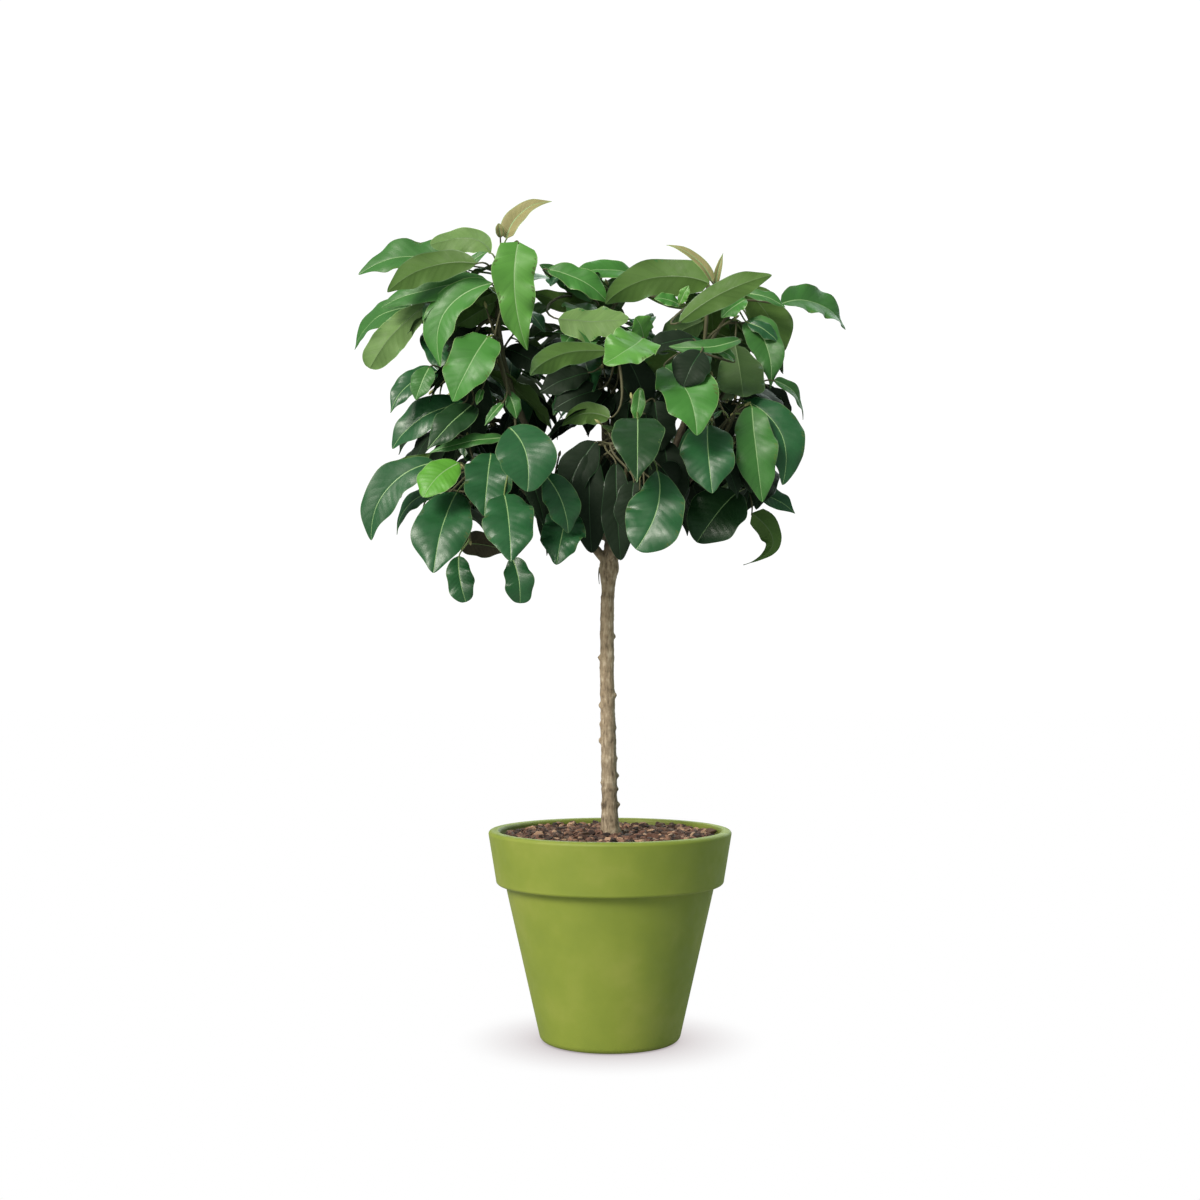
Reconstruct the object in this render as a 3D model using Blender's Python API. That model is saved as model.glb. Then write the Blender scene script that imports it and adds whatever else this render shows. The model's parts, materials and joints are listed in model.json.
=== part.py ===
"""A young evergreen tree trained as a standard, in a round plastic pot.

A clear trunk carries nine boughs. Each bough carries one mass of foliage: twigs from one stem, with large
drooping leaves. Metres, +Z up; the origin is the centre of the pot's flat underside, and the front faces -Y.
Run with: blender --background --python part.py
"""

import math
import random
from collections import namedtuple

import bmesh
import bpy
import numpy as np
from mathutils.bvhtree import BVHTree

CLEARANCE = 0.0003  # between solids that touch on the real plant

# Pot: a conical body under a broad band
POT_HEIGHT = 0.344
RIM_RADIUS = 0.200
LIP_WIDTH = 0.019
LIP_ROUNDING = 0.006
BAND_HEIGHT = 0.088
BAND_FOOT_RADIUS = 0.1875
SHOULDER_RADIUS = 0.1715
FOOT_RADIUS = 0.1165
FOOT_ROUNDING = 0.012
WALL = 0.008
BASE_THICKNESS = 0.010
POT_SEGMENTS = 48
ARC_STEPS = 3
DRAIN_HOLES = 5
DRAIN_RADIUS = 0.008
DRAIN_RING_RADIUS = 0.072
DRAIN_SIDES = 12

# Potting mix
SOIL_TOP = 0.330
SOIL_SEGMENTS = 40

# Trunk
TRUNK_FOOT = SOIL_TOP + CLEARANCE
TRUNK_TOP = 0.806
TRUNK_RADIUS_LOW = 0.0133
TRUNK_RADIUS_HIGH = 0.0103
FLARE = 0.0065
FLARE_HEIGHT = 0.018
HEAD_SWELL = 0.0062
HEAD_HEIGHT = 0.776
HEAD_SPREAD = 0.020
HEAD_ROUNDING = 0.014
SWAY = 0.0050
SWAY_POWER = 1.6  # over 1 puts the lean's widest point above the middle
SWAY_ASIDE = 0.4  # share of the sway that shows from the side
HEAD_CLOSING = 0.8  # how far the head closes over its top; 1 would be a full dome
TRUNK_SIDES = 12
TRUNK_RINGS = 37
HEAD_RINGS = (0.55, 0.22, 0.0)  # shares of the rounding left above each ring
KNOT_SIZE = 0.0042
KNOT_SPREAD = 0.0065
KNOT_WIDTH = 0.45  # radians round the trunk
# Height, and radians round the trunk from the right
KNOTS = ((0.385, 0.1), (0.432, 0.2), (0.490, 3.3), (0.548, 2.9), (0.565, -0.2), (0.627, 3.2), (0.662, 0.3))

# Boughs
BOUGH_SIDES = 8
BOUGH_RINGS = 8
BOUGH_REACH = 0.42  # shares of the length over which a limb keeps its first direction

# Twigs
TWIG_SIDES = 3
STEM_RINGS = 6
STEM_REACH = 0.50
TWIG_RINGS = 4
TWIG_REACH = 0.45
TWIG_TURN = 0.8  # how far a twig's first direction turns from the stem's to its own tip
STEM_RADIUS = 0.0050
TWIG_RADIUS = 0.0036
TIP_RADIUS = 0.0022
FIRST_NODE = 0.003
NODE_SPACING = 0.009

# Leaves
PETIOLE_LENGTH = 0.026
PETIOLE_RADIUS = 0.0011
STALK_RISE = 0.8
LEAF_THICKNESS = 0.011  # share of the length
LEAF_STATIONS = (0.13, 0.42, 0.76)
WIDTH_NEAR_BASE = 0.52  # powers that shape the outline
WIDTH_NEAR_TIP = 0.76
FOLD = math.radians(16)
ARCH = 42  # degrees
GUARD = 0.0012  # half of the room kept between two blades
GOLDEN_ANGLE = math.radians(137.5)
LEAF_LENGTHS = (0.115, 0.165)
LEAF_WIDTHS = (0.45, 0.54)  # shares of the length
LOW_CROWN = 0.88
HIGH_CROWN = 1.25
PITCH_LOW = math.radians(-64)
PITCH_HIGH = math.radians(-6)
PITCH_SPREAD = math.radians(16)
TILT_SPREAD = 0.35
CROWN_CENTRE = np.array((-0.01, 0.0, 1.035))
CROWN_RADII = np.array((0.41, 0.40, 0.265))
TRIES = 9
DEPTH_SHIFTS = (0.0, 0.018, -0.018, 0.036, -0.036, 0.054, -0.054, 0.075, -0.075)
NAMED_TILT = 0.6
SEED = 11

# Finishes: base colour and roughness
GREEN_PLASTIC = ((0.30, 0.42, 0.045), 0.55)
POTTING_MIX = ((0.075, 0.042, 0.030), 0.95)
BARK = ((0.27, 0.215, 0.15), 0.85)
FOLIAGE = ((0.035, 0.13, 0.035), 0.35)

UP = np.array((0.0, 0.0, 1.0))
FRONT = np.array((0.0, -1.0, 0.0))

# A bough leaves its parent at a share of the parent's length, turned and raised by the given degrees
Bough = namedtuple("Bough", "name parent share azimuth rise end radius tip_radius")
Mass = namedtuple("Mass", "name bough shoots")
Shoot = namedtuple("Shoot", "tip fill leaves", defaults=((),))
# A leaf seen from the front, in mm: where its tip lies, its length and width; whether it leans to the front
# (1), neither way (0) or to the back (-1); and its arch in degrees
Leaf = namedtuple("Leaf", "x z length width lean arch", defaults=(1, ARCH))

BOUGHS = (
    Bough("bough_left", "trunk", 0.945, 186, 48, (-0.152, -0.045, 1.040), 0.0072, 0.0056),
    Bough("bough_right", "trunk", 0.950, -8, 50, (0.128, -0.030, 1.030), 0.0072, 0.0056),
    Bough("bough_back", "trunk", 0.930, 92, 42, (0.005, 0.130, 1.010), 0.0070, 0.0056),
    Bough("bough_front", "trunk", 0.940, -82, 38, (0.022, -0.085, 0.905), 0.0058, 0.0052),
    Bough("bough_centre", "trunk", 0.988, 100, 84, (-0.012, 0.010, 1.060), 0.0080, 0.0056),
    Bough("bough_lower_left", "bough_left", 0.30, 205, 12, (-0.130, -0.075, 0.890), 0.0056, 0.0052),
    Bough("bough_lower_right", "bough_right", 0.34, -28, 22, (0.145, -0.065, 0.930), 0.0056, 0.0052),
    Bough("bough_back_left", "bough_back", 0.30, 150, 24, (-0.125, 0.115, 0.960), 0.0056, 0.0052),
    Bough("bough_back_right", "bough_back", 0.42, 28, 30, (0.130, 0.120, 0.985), 0.0056, 0.0052),
)

MASSES = (
    Mass("foliage_upper_left", "bough_left", (
        Shoot((-0.177, -0.080, 1.264), 1, (
            Leaf(-100, 1365, 85, 24, 0, 95), Leaf(-130, 1115, 150, 72), Leaf(-400, 1250, 185, 80, 0),
            Leaf(-290, 1285, 125, 60, -1), Leaf(-360, 1215, 160, 60), Leaf(-370, 1190, 165, 58, -1),
            Leaf(-275, 1100, 150, 62, 0))),
        Shoot((-0.279, -0.020, 1.214), 2, (
            Leaf(-405, 1105, 140, 66, 0), Leaf(-430, 1140, 150, 50, -1), Leaf(-360, 1150, 110, 50))),
        Shoot((-0.188, -0.120, 1.140), 2, (Leaf(-245, 1025, 120, 74),)),
        Shoot((-0.239, -0.070, 1.067), 2, (
            Leaf(-345, 1020, 110, 55), Leaf(-305, 1045, 60, 28), Leaf(-355, 970, 130, 75, -1),
            Leaf(-300, 960, 120, 60), Leaf(-225, 950, 110, 66))),
    )),
    Mass("foliage_lower_left", "bough_lower_left", (
        Shoot((-0.235, -0.130, 0.928), 1, (
            Leaf(-380, 815, 152, 80, 0, 80), Leaf(-295, 880, 80, 56), Leaf(-345, 825, 125, 45, -1),
            Leaf(-275, 762, 155, 86), Leaf(-195, 850, 105, 74))),
        Shoot((-0.159, -0.180, 0.920), 1, (Leaf(-105, 875, 115, 84), Leaf(-155, 780, 130, 74))),
        Shoot((-0.104, -0.120, 0.894), 1, (Leaf(-75, 830, 85, 54), Leaf(-80, 780, 105, 66))),
        Shoot((-0.228, -0.050, 0.818), 2, (Leaf(-220, 722, 80, 44), Leaf(-190, 800, 90, 50, -1))),
        Shoot((-0.157, -0.100, 0.808), 0, (Leaf(-150, 717, 75, 46),)),
    )),
    Mass("foliage_upper_centre", "bough_centre", (
        Shoot((-0.080, 0.020, 1.255), 5, (
            Leaf(0, 1200, 110, 60), Leaf(35, 1295, 115, 52, -1), Leaf(-110, 1185, 110, 60),
            Leaf(30, 1185, 112, 54))),
        Shoot((0.018, -0.130, 1.130), 2, (
            Leaf(-135, 1070, 150, 50), Leaf(-10, 1085, 125, 76), Leaf(50, 1125, 75, 40),
            Leaf(-75, 1005, 125, 42, 0), Leaf(60, 1020, 110, 60, -1))),
        Shoot((0.055, 0.040, 1.260), 7),
    )),
    Mass("foliage_upper_right", "bough_right", (
        Shoot((0.157, -0.080, 1.225), 1, (
            Leaf(95, 1295, 80, 20, 0), Leaf(-5, 1180, 165, 72, 1, 110), Leaf(240, 1215, 150, 66))),
        Shoot((0.128, -0.140, 1.120), 2, (Leaf(135, 970, 140, 92), Leaf(95, 1090, 110, 62))),
        Shoot((0.218, 0.000, 1.221), 4, (
            Leaf(400, 1180, 172, 64, -1), Leaf(265, 1075, 130, 64), Leaf(310, 1175, 110, 62, -1),
            Leaf(205, 1055, 145, 70))),
    )),
    Mass("foliage_lower_right", "bough_lower_right", (
        Shoot((0.212, -0.080, 1.050), 3, (
            Leaf(320, 1025, 110, 42, -1), Leaf(275, 905, 150, 78), Leaf(235, 875, 160, 64))),
        Shoot((0.161, -0.120, 1.017), 1, (Leaf(160, 885, 125, 88),)),
        Shoot((0.226, -0.030, 0.910), 2, (
            Leaf(140, 815, 115, 80), Leaf(290, 860, 85, 52), Leaf(230, 765, 125, 38, 0, 120))),
    )),
    Mass("foliage_lower_centre", "bough_front", (
        Shoot((0.040, -0.170, 1.022), 1, (Leaf(45, 900, 125, 80), Leaf(35, 975, 52, 26))),
        Shoot((0.064, -0.170, 0.944), 1, (Leaf(55, 795, 132, 84), Leaf(110, 850, 110, 68, -1))),
        Shoot((-0.020, -0.100, 0.967), 2, (
            Leaf(-45, 850, 115, 76), Leaf(10, 830, 125, 68), Leaf(-85, 920, 100, 60, -1))),
    )),
    Mass("foliage_back_left", "bough_back_left", (
        Shoot((-0.230, 0.130, 1.150), 8),
        Shoot((-0.180, 0.245, 1.040), 8),
        Shoot((-0.275, 0.115, 0.970), 6),
        Shoot((-0.150, 0.170, 0.900), 6),
        Shoot((-0.300, 0.050, 1.075), 5),
    )),
    Mass("foliage_back_right", "bough_back_right", (
        Shoot((0.225, 0.130, 1.130), 8),
        Shoot((0.180, 0.245, 1.020), 8),
        Shoot((0.270, 0.110, 0.950), 6),
        Shoot((0.150, 0.160, 0.890), 6),
    )),
    Mass("foliage_back_centre", "bough_back", (
        Shoot((0.000, 0.170, 1.215), 8),
        Shoot((0.010, 0.290, 1.060), 8),
        Shoot((-0.080, 0.120, 1.130), 4),
        Shoot((0.000, 0.230, 0.930), 7),
    )),
)


def unit(vector):
    return vector / np.linalg.norm(vector)


def direction(azimuth, rise):
    level = math.cos(rise)
    return np.array((level * math.cos(azimuth), level * math.sin(azimuth), math.sin(rise)))


def finish(name, colour, roughness):
    material = bpy.data.materials.new(name)
    material.use_nodes = True
    shader = material.node_tree.nodes["Principled BSDF"]
    shader.inputs["Base Color"].default_value = (*colour, 1.0)
    shader.inputs["Roughness"].default_value = roughness
    shader.inputs["Metallic"].default_value = 0.0
    return material


def add_object(name, points, faces, material):
    mesh = bpy.data.meshes.new(name)
    mesh.from_pydata([tuple(map(float, point)) for point in points], [], faces)
    mesh.materials.append(material)
    obj = bpy.data.objects.new(name, mesh)
    bpy.context.scene.collection.objects.link(obj)
    return obj


def hide(obj):
    """Keep a cutter out of the model."""
    obj.hide_render = True
    obj.display_type = "WIRE"
    return obj


def subtract(obj, cutter):
    cut = obj.modifiers.new("clear_" + cutter.name, "BOOLEAN")
    cut.operation = "DIFFERENCE"
    cut.solver = "EXACT"
    cut.object = cutter


# ---- lofts ----


def bridge(lower, upper):
    """Faces between two rings of equal count, given by their first index and that count."""
    (a, count), (b, _) = lower, upper
    return [(a + i, a + (i + 1) % count, b + (i + 1) % count, b + i) for i in range(count)]


def loft(rings, point_tip=None):
    """A closed skin over rings of equal count, anticlockwise seen from the last; it may end in a point."""
    count = len(rings[0])
    points = [point for ring in rings for point in ring]
    faces = [tuple(reversed(range(count)))]
    for k in range(len(rings) - 1):
        faces += bridge((k * count, count), ((k + 1) * count, count))
    last = (len(rings) - 1) * count
    if point_tip is None:
        faces.append(tuple(range(last, last + count)))
    else:
        faces += [(last + i, last + (i + 1) % count, len(points)) for i in range(count)]
        points = points + [point_tip]
    return points, faces


def bend(start, first_direction, end, keep, count):
    """Points and tangents along a limb that leaves in one direction and turns smoothly to its end."""
    middle = start + first_direction * keep * np.linalg.norm(end - start)
    shares = np.linspace(0.0, 1.0, count)[:, None]
    points = (1 - shares) ** 2 * start + 2 * shares * (1 - shares) * middle + shares**2 * end
    tangents = (1 - shares) * (middle - start) + shares * (end - middle)
    return points, tangents / np.linalg.norm(tangents, axis=1)[:, None]


def tube(points, tangents, radii, sides):
    """A tapering limb of flat sides along a path."""
    across = unit(np.cross(tangents[0], FRONT if abs(tangents[0][2]) > 0.5 else UP))
    rings = []
    for point, tangent, radius in zip(points, tangents, radii):
        across = unit(across - tangent * across.dot(tangent))
        other = np.cross(tangent, across)
        angles = [2 * math.pi * i / sides for i in range(sides)]
        rings.append([point + radius * (math.cos(a) * across + math.sin(a) * other) for a in angles])
    return loft(rings)


def turn(profile, segments):
    """A solid of revolution: the profile runs up the outside, and its two ends are poles on the axis."""
    rings = []
    for radius, height in profile[1:-1]:
        angles = [2 * math.pi * i / segments for i in range(segments)]
        rings.append([np.array((radius * math.cos(a), radius * math.sin(a), height)) for a in angles])
    points = [point for ring in rings for point in ring]
    faces = []
    for k in range(len(rings) - 1):
        faces += bridge((k * segments, segments), ((k + 1) * segments, segments))
    last = (len(rings) - 1) * segments
    first_pole = len(points)
    points += [np.array((0.0, 0.0, profile[0][1])), np.array((0.0, 0.0, profile[-1][1]))]
    faces += [(first_pole, (i + 1) % segments, i) for i in range(segments)]
    faces += [(first_pole + 1, last + i, last + (i + 1) % segments) for i in range(segments)]
    return points, faces


# ---- pot and potting mix ----


def arc(centre, radius, start, end):
    angles = np.radians(np.linspace(start, end, ARC_STEPS + 1))
    return [(centre[0] + radius * math.cos(a), centre[1] + radius * math.sin(a)) for a in angles]


def inner_radius(height):
    """The pot's inner wall, which tapers evenly from the lip to the base."""
    base = FOOT_RADIUS - WALL
    return base + (RIM_RADIUS - LIP_WIDTH - base) * (height - BASE_THICKNESS) / (POT_HEIGHT - BASE_THICKNESS)


def make_pot(material):
    band_foot = POT_HEIGHT - BAND_HEIGHT
    lip = LIP_ROUNDING
    profile = [(0.0, 0.0)]
    profile += arc((FOOT_RADIUS - FOOT_ROUNDING, FOOT_ROUNDING), FOOT_ROUNDING, -90, 0)
    profile += [(SHOULDER_RADIUS, band_foot - lip)]
    profile += arc((BAND_FOOT_RADIUS - lip, band_foot + lip), lip, -90, 0)
    profile += arc((RIM_RADIUS - lip, POT_HEIGHT - lip), lip, 0, 90)
    profile += arc((RIM_RADIUS - LIP_WIDTH + lip, POT_HEIGHT - lip), lip, 90, 180)
    profile += [(inner_radius(BASE_THICKNESS), BASE_THICKNESS), (0.0, BASE_THICKNESS)]
    pot = add_object("pot", *turn(profile, POT_SEGMENTS), material)
    pot.data.shade_smooth()
    pot.data.set_sharp_from_angle(angle=math.radians(40))
    drains = hide(add_object("drain_cutter", *drain_holes(), material))
    subtract(pot, drains)


def drain_holes():
    points = []
    faces = []
    for hole in range(DRAIN_HOLES):
        around = 2 * math.pi * hole / DRAIN_HOLES
        centre = np.array((DRAIN_RING_RADIUS * math.cos(around), DRAIN_RING_RADIUS * math.sin(around), 0.0))
        ends = np.array([centre - UP * BASE_THICKNESS, centre + UP * 2 * BASE_THICKNESS])
        more_points, more_faces = tube(ends, [UP, UP], [DRAIN_RADIUS] * 2, DRAIN_SIDES)
        faces += [tuple(index + len(points) for index in face) for face in more_faces]
        points += more_points
    return points, faces


def make_soil(material):
    floor = BASE_THICKNESS + CLEARANCE
    profile = [
        (0.0, floor),
        (inner_radius(floor) - CLEARANCE, floor),
        (inner_radius(SOIL_TOP) - CLEARANCE, SOIL_TOP),
        (0.0, SOIL_TOP),
    ]
    add_object("potting_soil", *turn(profile, SOIL_SEGMENTS), material)


# ---- trunk and boughs ----


def trunk_centre(height):
    """The trunk leans a little to the left and comes back under the crown."""
    share = (height - TRUNK_FOOT) / (TRUNK_TOP - TRUNK_FOOT)
    left = SWAY * math.sin(math.pi * share**SWAY_POWER)
    back = SWAY * SWAY_ASIDE * math.sin(2 * math.pi * share)
    return np.array((-left, back, height))


def trunk_radius(height):
    share = (height - TRUNK_FOOT) / (TRUNK_TOP - TRUNK_FOOT)
    radius = TRUNK_RADIUS_LOW + (TRUNK_RADIUS_HIGH - TRUNK_RADIUS_LOW) * share
    radius += FLARE * math.exp(-(height - TRUNK_FOOT) / FLARE_HEIGHT)
    radius += HEAD_SWELL * math.exp(-(((height - HEAD_HEIGHT) / HEAD_SPREAD) ** 2))
    crown = max(0.0, height - (TRUNK_TOP - HEAD_ROUNDING)) / HEAD_ROUNDING
    return radius * math.sqrt(1.0 - HEAD_CLOSING * crown**2)


def knot(height, around):
    """How far the stub of a pruned side shoot stands out there."""
    total = 0.0
    for knot_height, knot_angle in KNOTS:
        turned = math.remainder(around - knot_angle, 2 * math.pi)
        off = ((height - knot_height) / KNOT_SPREAD) ** 2 + (turned / KNOT_WIDTH) ** 2
        total += KNOT_SIZE * math.exp(-off)
    return total


def trunk_heights():
    """Evenly spaced rings, with one on each knot, and a few more that round the top."""
    heights = list(np.linspace(TRUNK_FOOT, TRUNK_TOP - HEAD_ROUNDING, TRUNK_RINGS))
    for knot_height, _ in KNOTS:
        nearest = min(range(len(heights)), key=lambda k: abs(heights[k] - knot_height))
        heights[nearest] = knot_height
    return heights + [TRUNK_TOP - HEAD_ROUNDING * share for share in HEAD_RINGS]


def trunk_mesh(extra=0.0):
    rings = []
    for height in trunk_heights():
        ring = []
        for side in range(TRUNK_SIDES):
            around = 2 * math.pi * side / TRUNK_SIDES
            radius = trunk_radius(height) + knot(height, around) + extra
            ring.append(trunk_centre(height) + radius * direction(around, 0.0))
        rings.append(ring)
    rings[-1] = [point + UP * extra for point in rings[-1]]
    return loft(rings)


def bough_path(bough, paths):
    """The bough starts on its parent's centre line, at a share of the parent's length."""
    if bough.parent == "trunk":
        start = trunk_centre(TRUNK_FOOT + (TRUNK_TOP - TRUNK_FOOT) * bough.share)
    else:
        parent_points = paths[bough.parent][0]
        place = bough.share * (len(parent_points) - 1)
        start = np.array([np.interp(place, range(len(parent_points)), axis) for axis in parent_points.T])
    first = direction(math.radians(bough.azimuth), math.radians(bough.rise))
    return bend(start, first, np.array(bough.end), BOUGH_REACH, BOUGH_RINGS)


def bough_mesh(bough, path, extra=0.0):
    radii = np.linspace(bough.radius, bough.tip_radius, BOUGH_RINGS) + extra
    return tube(*path, radii, BOUGH_SIDES)


def make_limbs(material):
    """The trunk and its boughs, each bough cut clear of the limb that it leaves.

    Returns the boughs' paths, and the meshes of all the limbs.
    """
    trunk = add_object("trunk", *trunk_mesh(), material)
    trunk.data.shade_smooth()
    meshes = [trunk_mesh()]
    cutters = {"trunk": hide(add_object("trunk_cutter", *trunk_mesh(CLEARANCE), material))}
    parents = {bough.parent for bough in BOUGHS}
    paths = {}
    for bough in BOUGHS:
        paths[bough.name] = bough_path(bough, paths)
        meshes.append(bough_mesh(bough, paths[bough.name]))
        limb = add_object(bough.name, *meshes[-1], material)
        limb.data.shade_smooth()
        subtract(limb, cutters[bough.parent])
        if bough.name in parents:
            wider = bough_mesh(bough, paths[bough.name], CLEARANCE)
            cutters[bough.name] = hide(add_object(bough.name + "_cutter", *wider, material))
    return paths, meshes


# ---- foliage ----


def leaf_mesh(root, base, tip, width, facing, arch, guard=0.0):
    """A pointed oval blade, folded up along its rib and arched along its length, on a thin stalk.

    The stalk runs from root, on the twig's centre line, to base, and the blade from there to its tip.
    """
    along = unit(tip - base)
    above = unit(facing - along * facing.dot(along))
    across = np.cross(above, along)
    half_arch = math.radians(arch) / 2
    length = np.linalg.norm(tip - base) * half_arch / math.sin(half_arch)
    half_thick = LEAF_THICKNESS * length / 2 + guard
    widest = WIDTH_NEAR_BASE / (WIDTH_NEAR_BASE + WIDTH_NEAR_TIP)
    most = widest**WIDTH_NEAR_BASE * (1 - widest) ** WIDTH_NEAR_TIP
    stalk = PETIOLE_RADIUS + guard
    stalk_along = unit(base - root)
    stalk_across = unit(across - stalk_along * across.dot(stalk_along))
    stalk_above = np.cross(stalk_along, stalk_across)
    rings = [[root + stalk * d for d in (stalk_across, stalk_above, -stalk_across, -stalk_above)]]
    rings.append([base + stalk * d for d in (across, above, -across, -above)])
    for share in LEAF_STATIONS:
        slope = half_arch * (1 - 2 * share)
        run = (math.sin(half_arch) - math.sin(slope)) / (2 * half_arch)
        lift = (math.cos(slope) - math.cos(half_arch)) / (2 * half_arch)
        rib = base + length * (run * along + lift * above)
        normal = math.cos(slope) * above - math.sin(slope) * along
        half_width = width / 2 * share**WIDTH_NEAR_BASE * (1 - share) ** WIDTH_NEAR_TIP / most + guard
        edge = half_width * math.sin(FOLD) * normal
        spread = half_width * math.cos(FOLD) * across
        thick = half_thick * normal
        rings.append([rib + edge + spread, rib + thick, rib + edge - spread, rib - thick])
    return loft(rings, tip + along * guard)


def stalk_end(root, tip, shoot_along):
    """Where a leaf's stalk ends: it stands out from the twig, halfway to the twig's own direction."""
    towards = tip - root
    outward = unit(towards - shoot_along * towards.dot(shoot_along))
    return root + PETIOLE_LENGTH * unit(outward + STALK_RISE * shoot_along)


def named_tip(leaf, root):
    """The tip of a leaf whose place is known from the front: its length says how far it leans."""
    tip = np.array((leaf.x / 1000, root[1], leaf.z / 1000))
    reach = leaf.length / 1000 + PETIOLE_LENGTH
    left_over = reach**2 - (tip[0] - root[0]) ** 2 - (tip[2] - root[2]) ** 2
    tip[1] -= leaf.lean * math.sqrt(max(left_over, 0.0))
    return tip


def ruled_tip(root, around, length, rng):
    """The tip of a leaf that takes its turn round the shoot; leaves low in the crown hang more."""
    share = min(1.0, max(0.0, (root[2] - LOW_CROWN) / (HIGH_CROWN - LOW_CROWN)))
    pitch = PITCH_LOW + (PITCH_HIGH - PITCH_LOW) * share + rng.uniform(-PITCH_SPREAD, PITCH_SPREAD)
    return root + (length + PETIOLE_LENGTH) * direction(around, pitch)


Skin = namedtuple("Skin", "centre reach tree")


def skin_of(mesh):
    """A mesh ready for touch tests, with the ball that holds it."""
    points, faces = mesh
    centre = np.mean(points, axis=0)
    reach = np.linalg.norm(np.array(points) - centre, axis=1).max()
    return Skin(centre, reach, BVHTree.FromPolygons([tuple(map(float, point)) for point in points], faces))


def touches(one, other):
    near = np.linalg.norm(one.centre - other.centre) < one.reach + other.reach
    return near and bool(one.tree.overlap(other.tree))


class Foliage:
    """What has grown so far, so that a new leaf touches nothing and stays in its own mass's space."""

    def __init__(self, limb_meshes):
        self.limbs = [skin_of(mesh) for mesh in limb_meshes]
        self.whole = {mass.name: [] for mass in MASSES}  # twigs, and leaves with their stalks
        self.blades = {mass.name: [] for mass in MASSES}
        self.centres = {mass.name: np.mean([shoot.tip for shoot in mass.shoots], axis=0) for mass in MASSES}

    def is_clear(self, mass_name, whole, blade):
        """Leaves of one mass may share a twig, so within it only blades are kept apart."""
        others = [skin for name, skins in self.whole.items() if name != mass_name for skin in skins]
        if any(touches(whole, skin) for skin in self.limbs + others):
            return False
        return not any(touches(blade, skin) for skin in self.blades[mass_name])

    def in_space(self, mass_name, middle, tip):
        inside = np.sum(((tip - CROWN_CENTRE) / CROWN_RADII) ** 2) < 1.0
        nearest = min(self.centres, key=lambda name: np.linalg.norm(middle - self.centres[name]))
        return inside and nearest == mass_name


def blade_only(mesh):
    """A leaf's mesh without the two rings of its stalk."""
    points, _ = mesh
    rings = [points[4 * ring : 4 * ring + 4] for ring in range(2, 2 + len(LEAF_STATIONS))]
    return loft(rings, points[-1])


def grow_leaf(foliage, mass_name, root, shoot_along, tip, width, facing, arch=ARCH):
    """The leaf's mesh if nothing is in its way, or None."""
    shape = (root, stalk_end(root, tip, shoot_along), tip, width, facing, arch)
    guarded = leaf_mesh(*shape, GUARD)
    whole = skin_of(guarded)
    blade = skin_of(blade_only(guarded))
    if not foliage.is_clear(mass_name, whole, blade):
        return None
    foliage.whole[mass_name].append(whole)
    foliage.blades[mass_name].append(blade)
    return leaf_mesh(*shape)


def mass_stem(mass, paths):
    """The path of the mass's stem, from just clear of the bough's end to the first shoot's tip."""
    end_points, end_tangents = paths[mass.bough]
    start = end_points[-1] + end_tangents[-1] * CLEARANCE
    return bend(start, end_tangents[-1], np.array(mass.shoots[0].tip), STEM_REACH, STEM_RINGS)


def twig_paths(mass, paths):
    """The stem and the twigs that leave it, one to each further shoot, spaced along its lower part."""
    stem_points, stem_tangents = mass_stem(mass, paths)
    found = [(stem_points, stem_tangents, np.linspace(STEM_RADIUS, TIP_RADIUS, STEM_RINGS))]
    for index, shoot in enumerate(mass.shoots[1:], 1):
        ring = min(index, STEM_RINGS - 2)
        start = stem_points[ring]
        tip = np.array(shoot.tip)
        first = unit(stem_tangents[ring] + TWIG_TURN * unit(tip - start))
        points, tangents = bend(start, first, tip, TWIG_REACH, TWIG_RINGS)
        found.append((points, tangents, np.linspace(TWIG_RADIUS, TIP_RADIUS, TWIG_RINGS)))
    return found


def leaf_roots(points, count):
    """Places for a shoot's leaves, from its tip down, and the direction of the shoot there."""
    steps = np.linalg.norm(np.diff(points, axis=0), axis=1)
    below_tip = np.concatenate([np.cumsum(steps[::-1])[::-1], [0.0]])
    roots = []
    for place in range(count):
        down = FIRST_NODE + place * NODE_SPACING
        roots.append(np.array([np.interp(down, below_tip[::-1], axis[::-1]) for axis in points.T]))
    return roots, unit(points[-1] - points[-2])


def grow_named(foliage, mass, twigs):
    """The leaves whose places are known, each moved a little to the front or back where it would touch."""
    grown = []
    for shoot, (points, _, _) in zip(mass.shoots, twigs):
        roots, along = leaf_roots(points, len(shoot.leaves))
        for leaf, root in zip(shoot.leaves, roots):
            facing = FRONT + NAMED_TILT * UP
            for shift in DEPTH_SHIFTS:
                tip = named_tip(leaf, root) + shift * FRONT
                mesh = grow_leaf(foliage, mass.name, root, along, tip, leaf.width / 1000, facing, leaf.arch)
                if mesh:
                    grown.append(mesh)
                    break
    return grown


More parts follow.
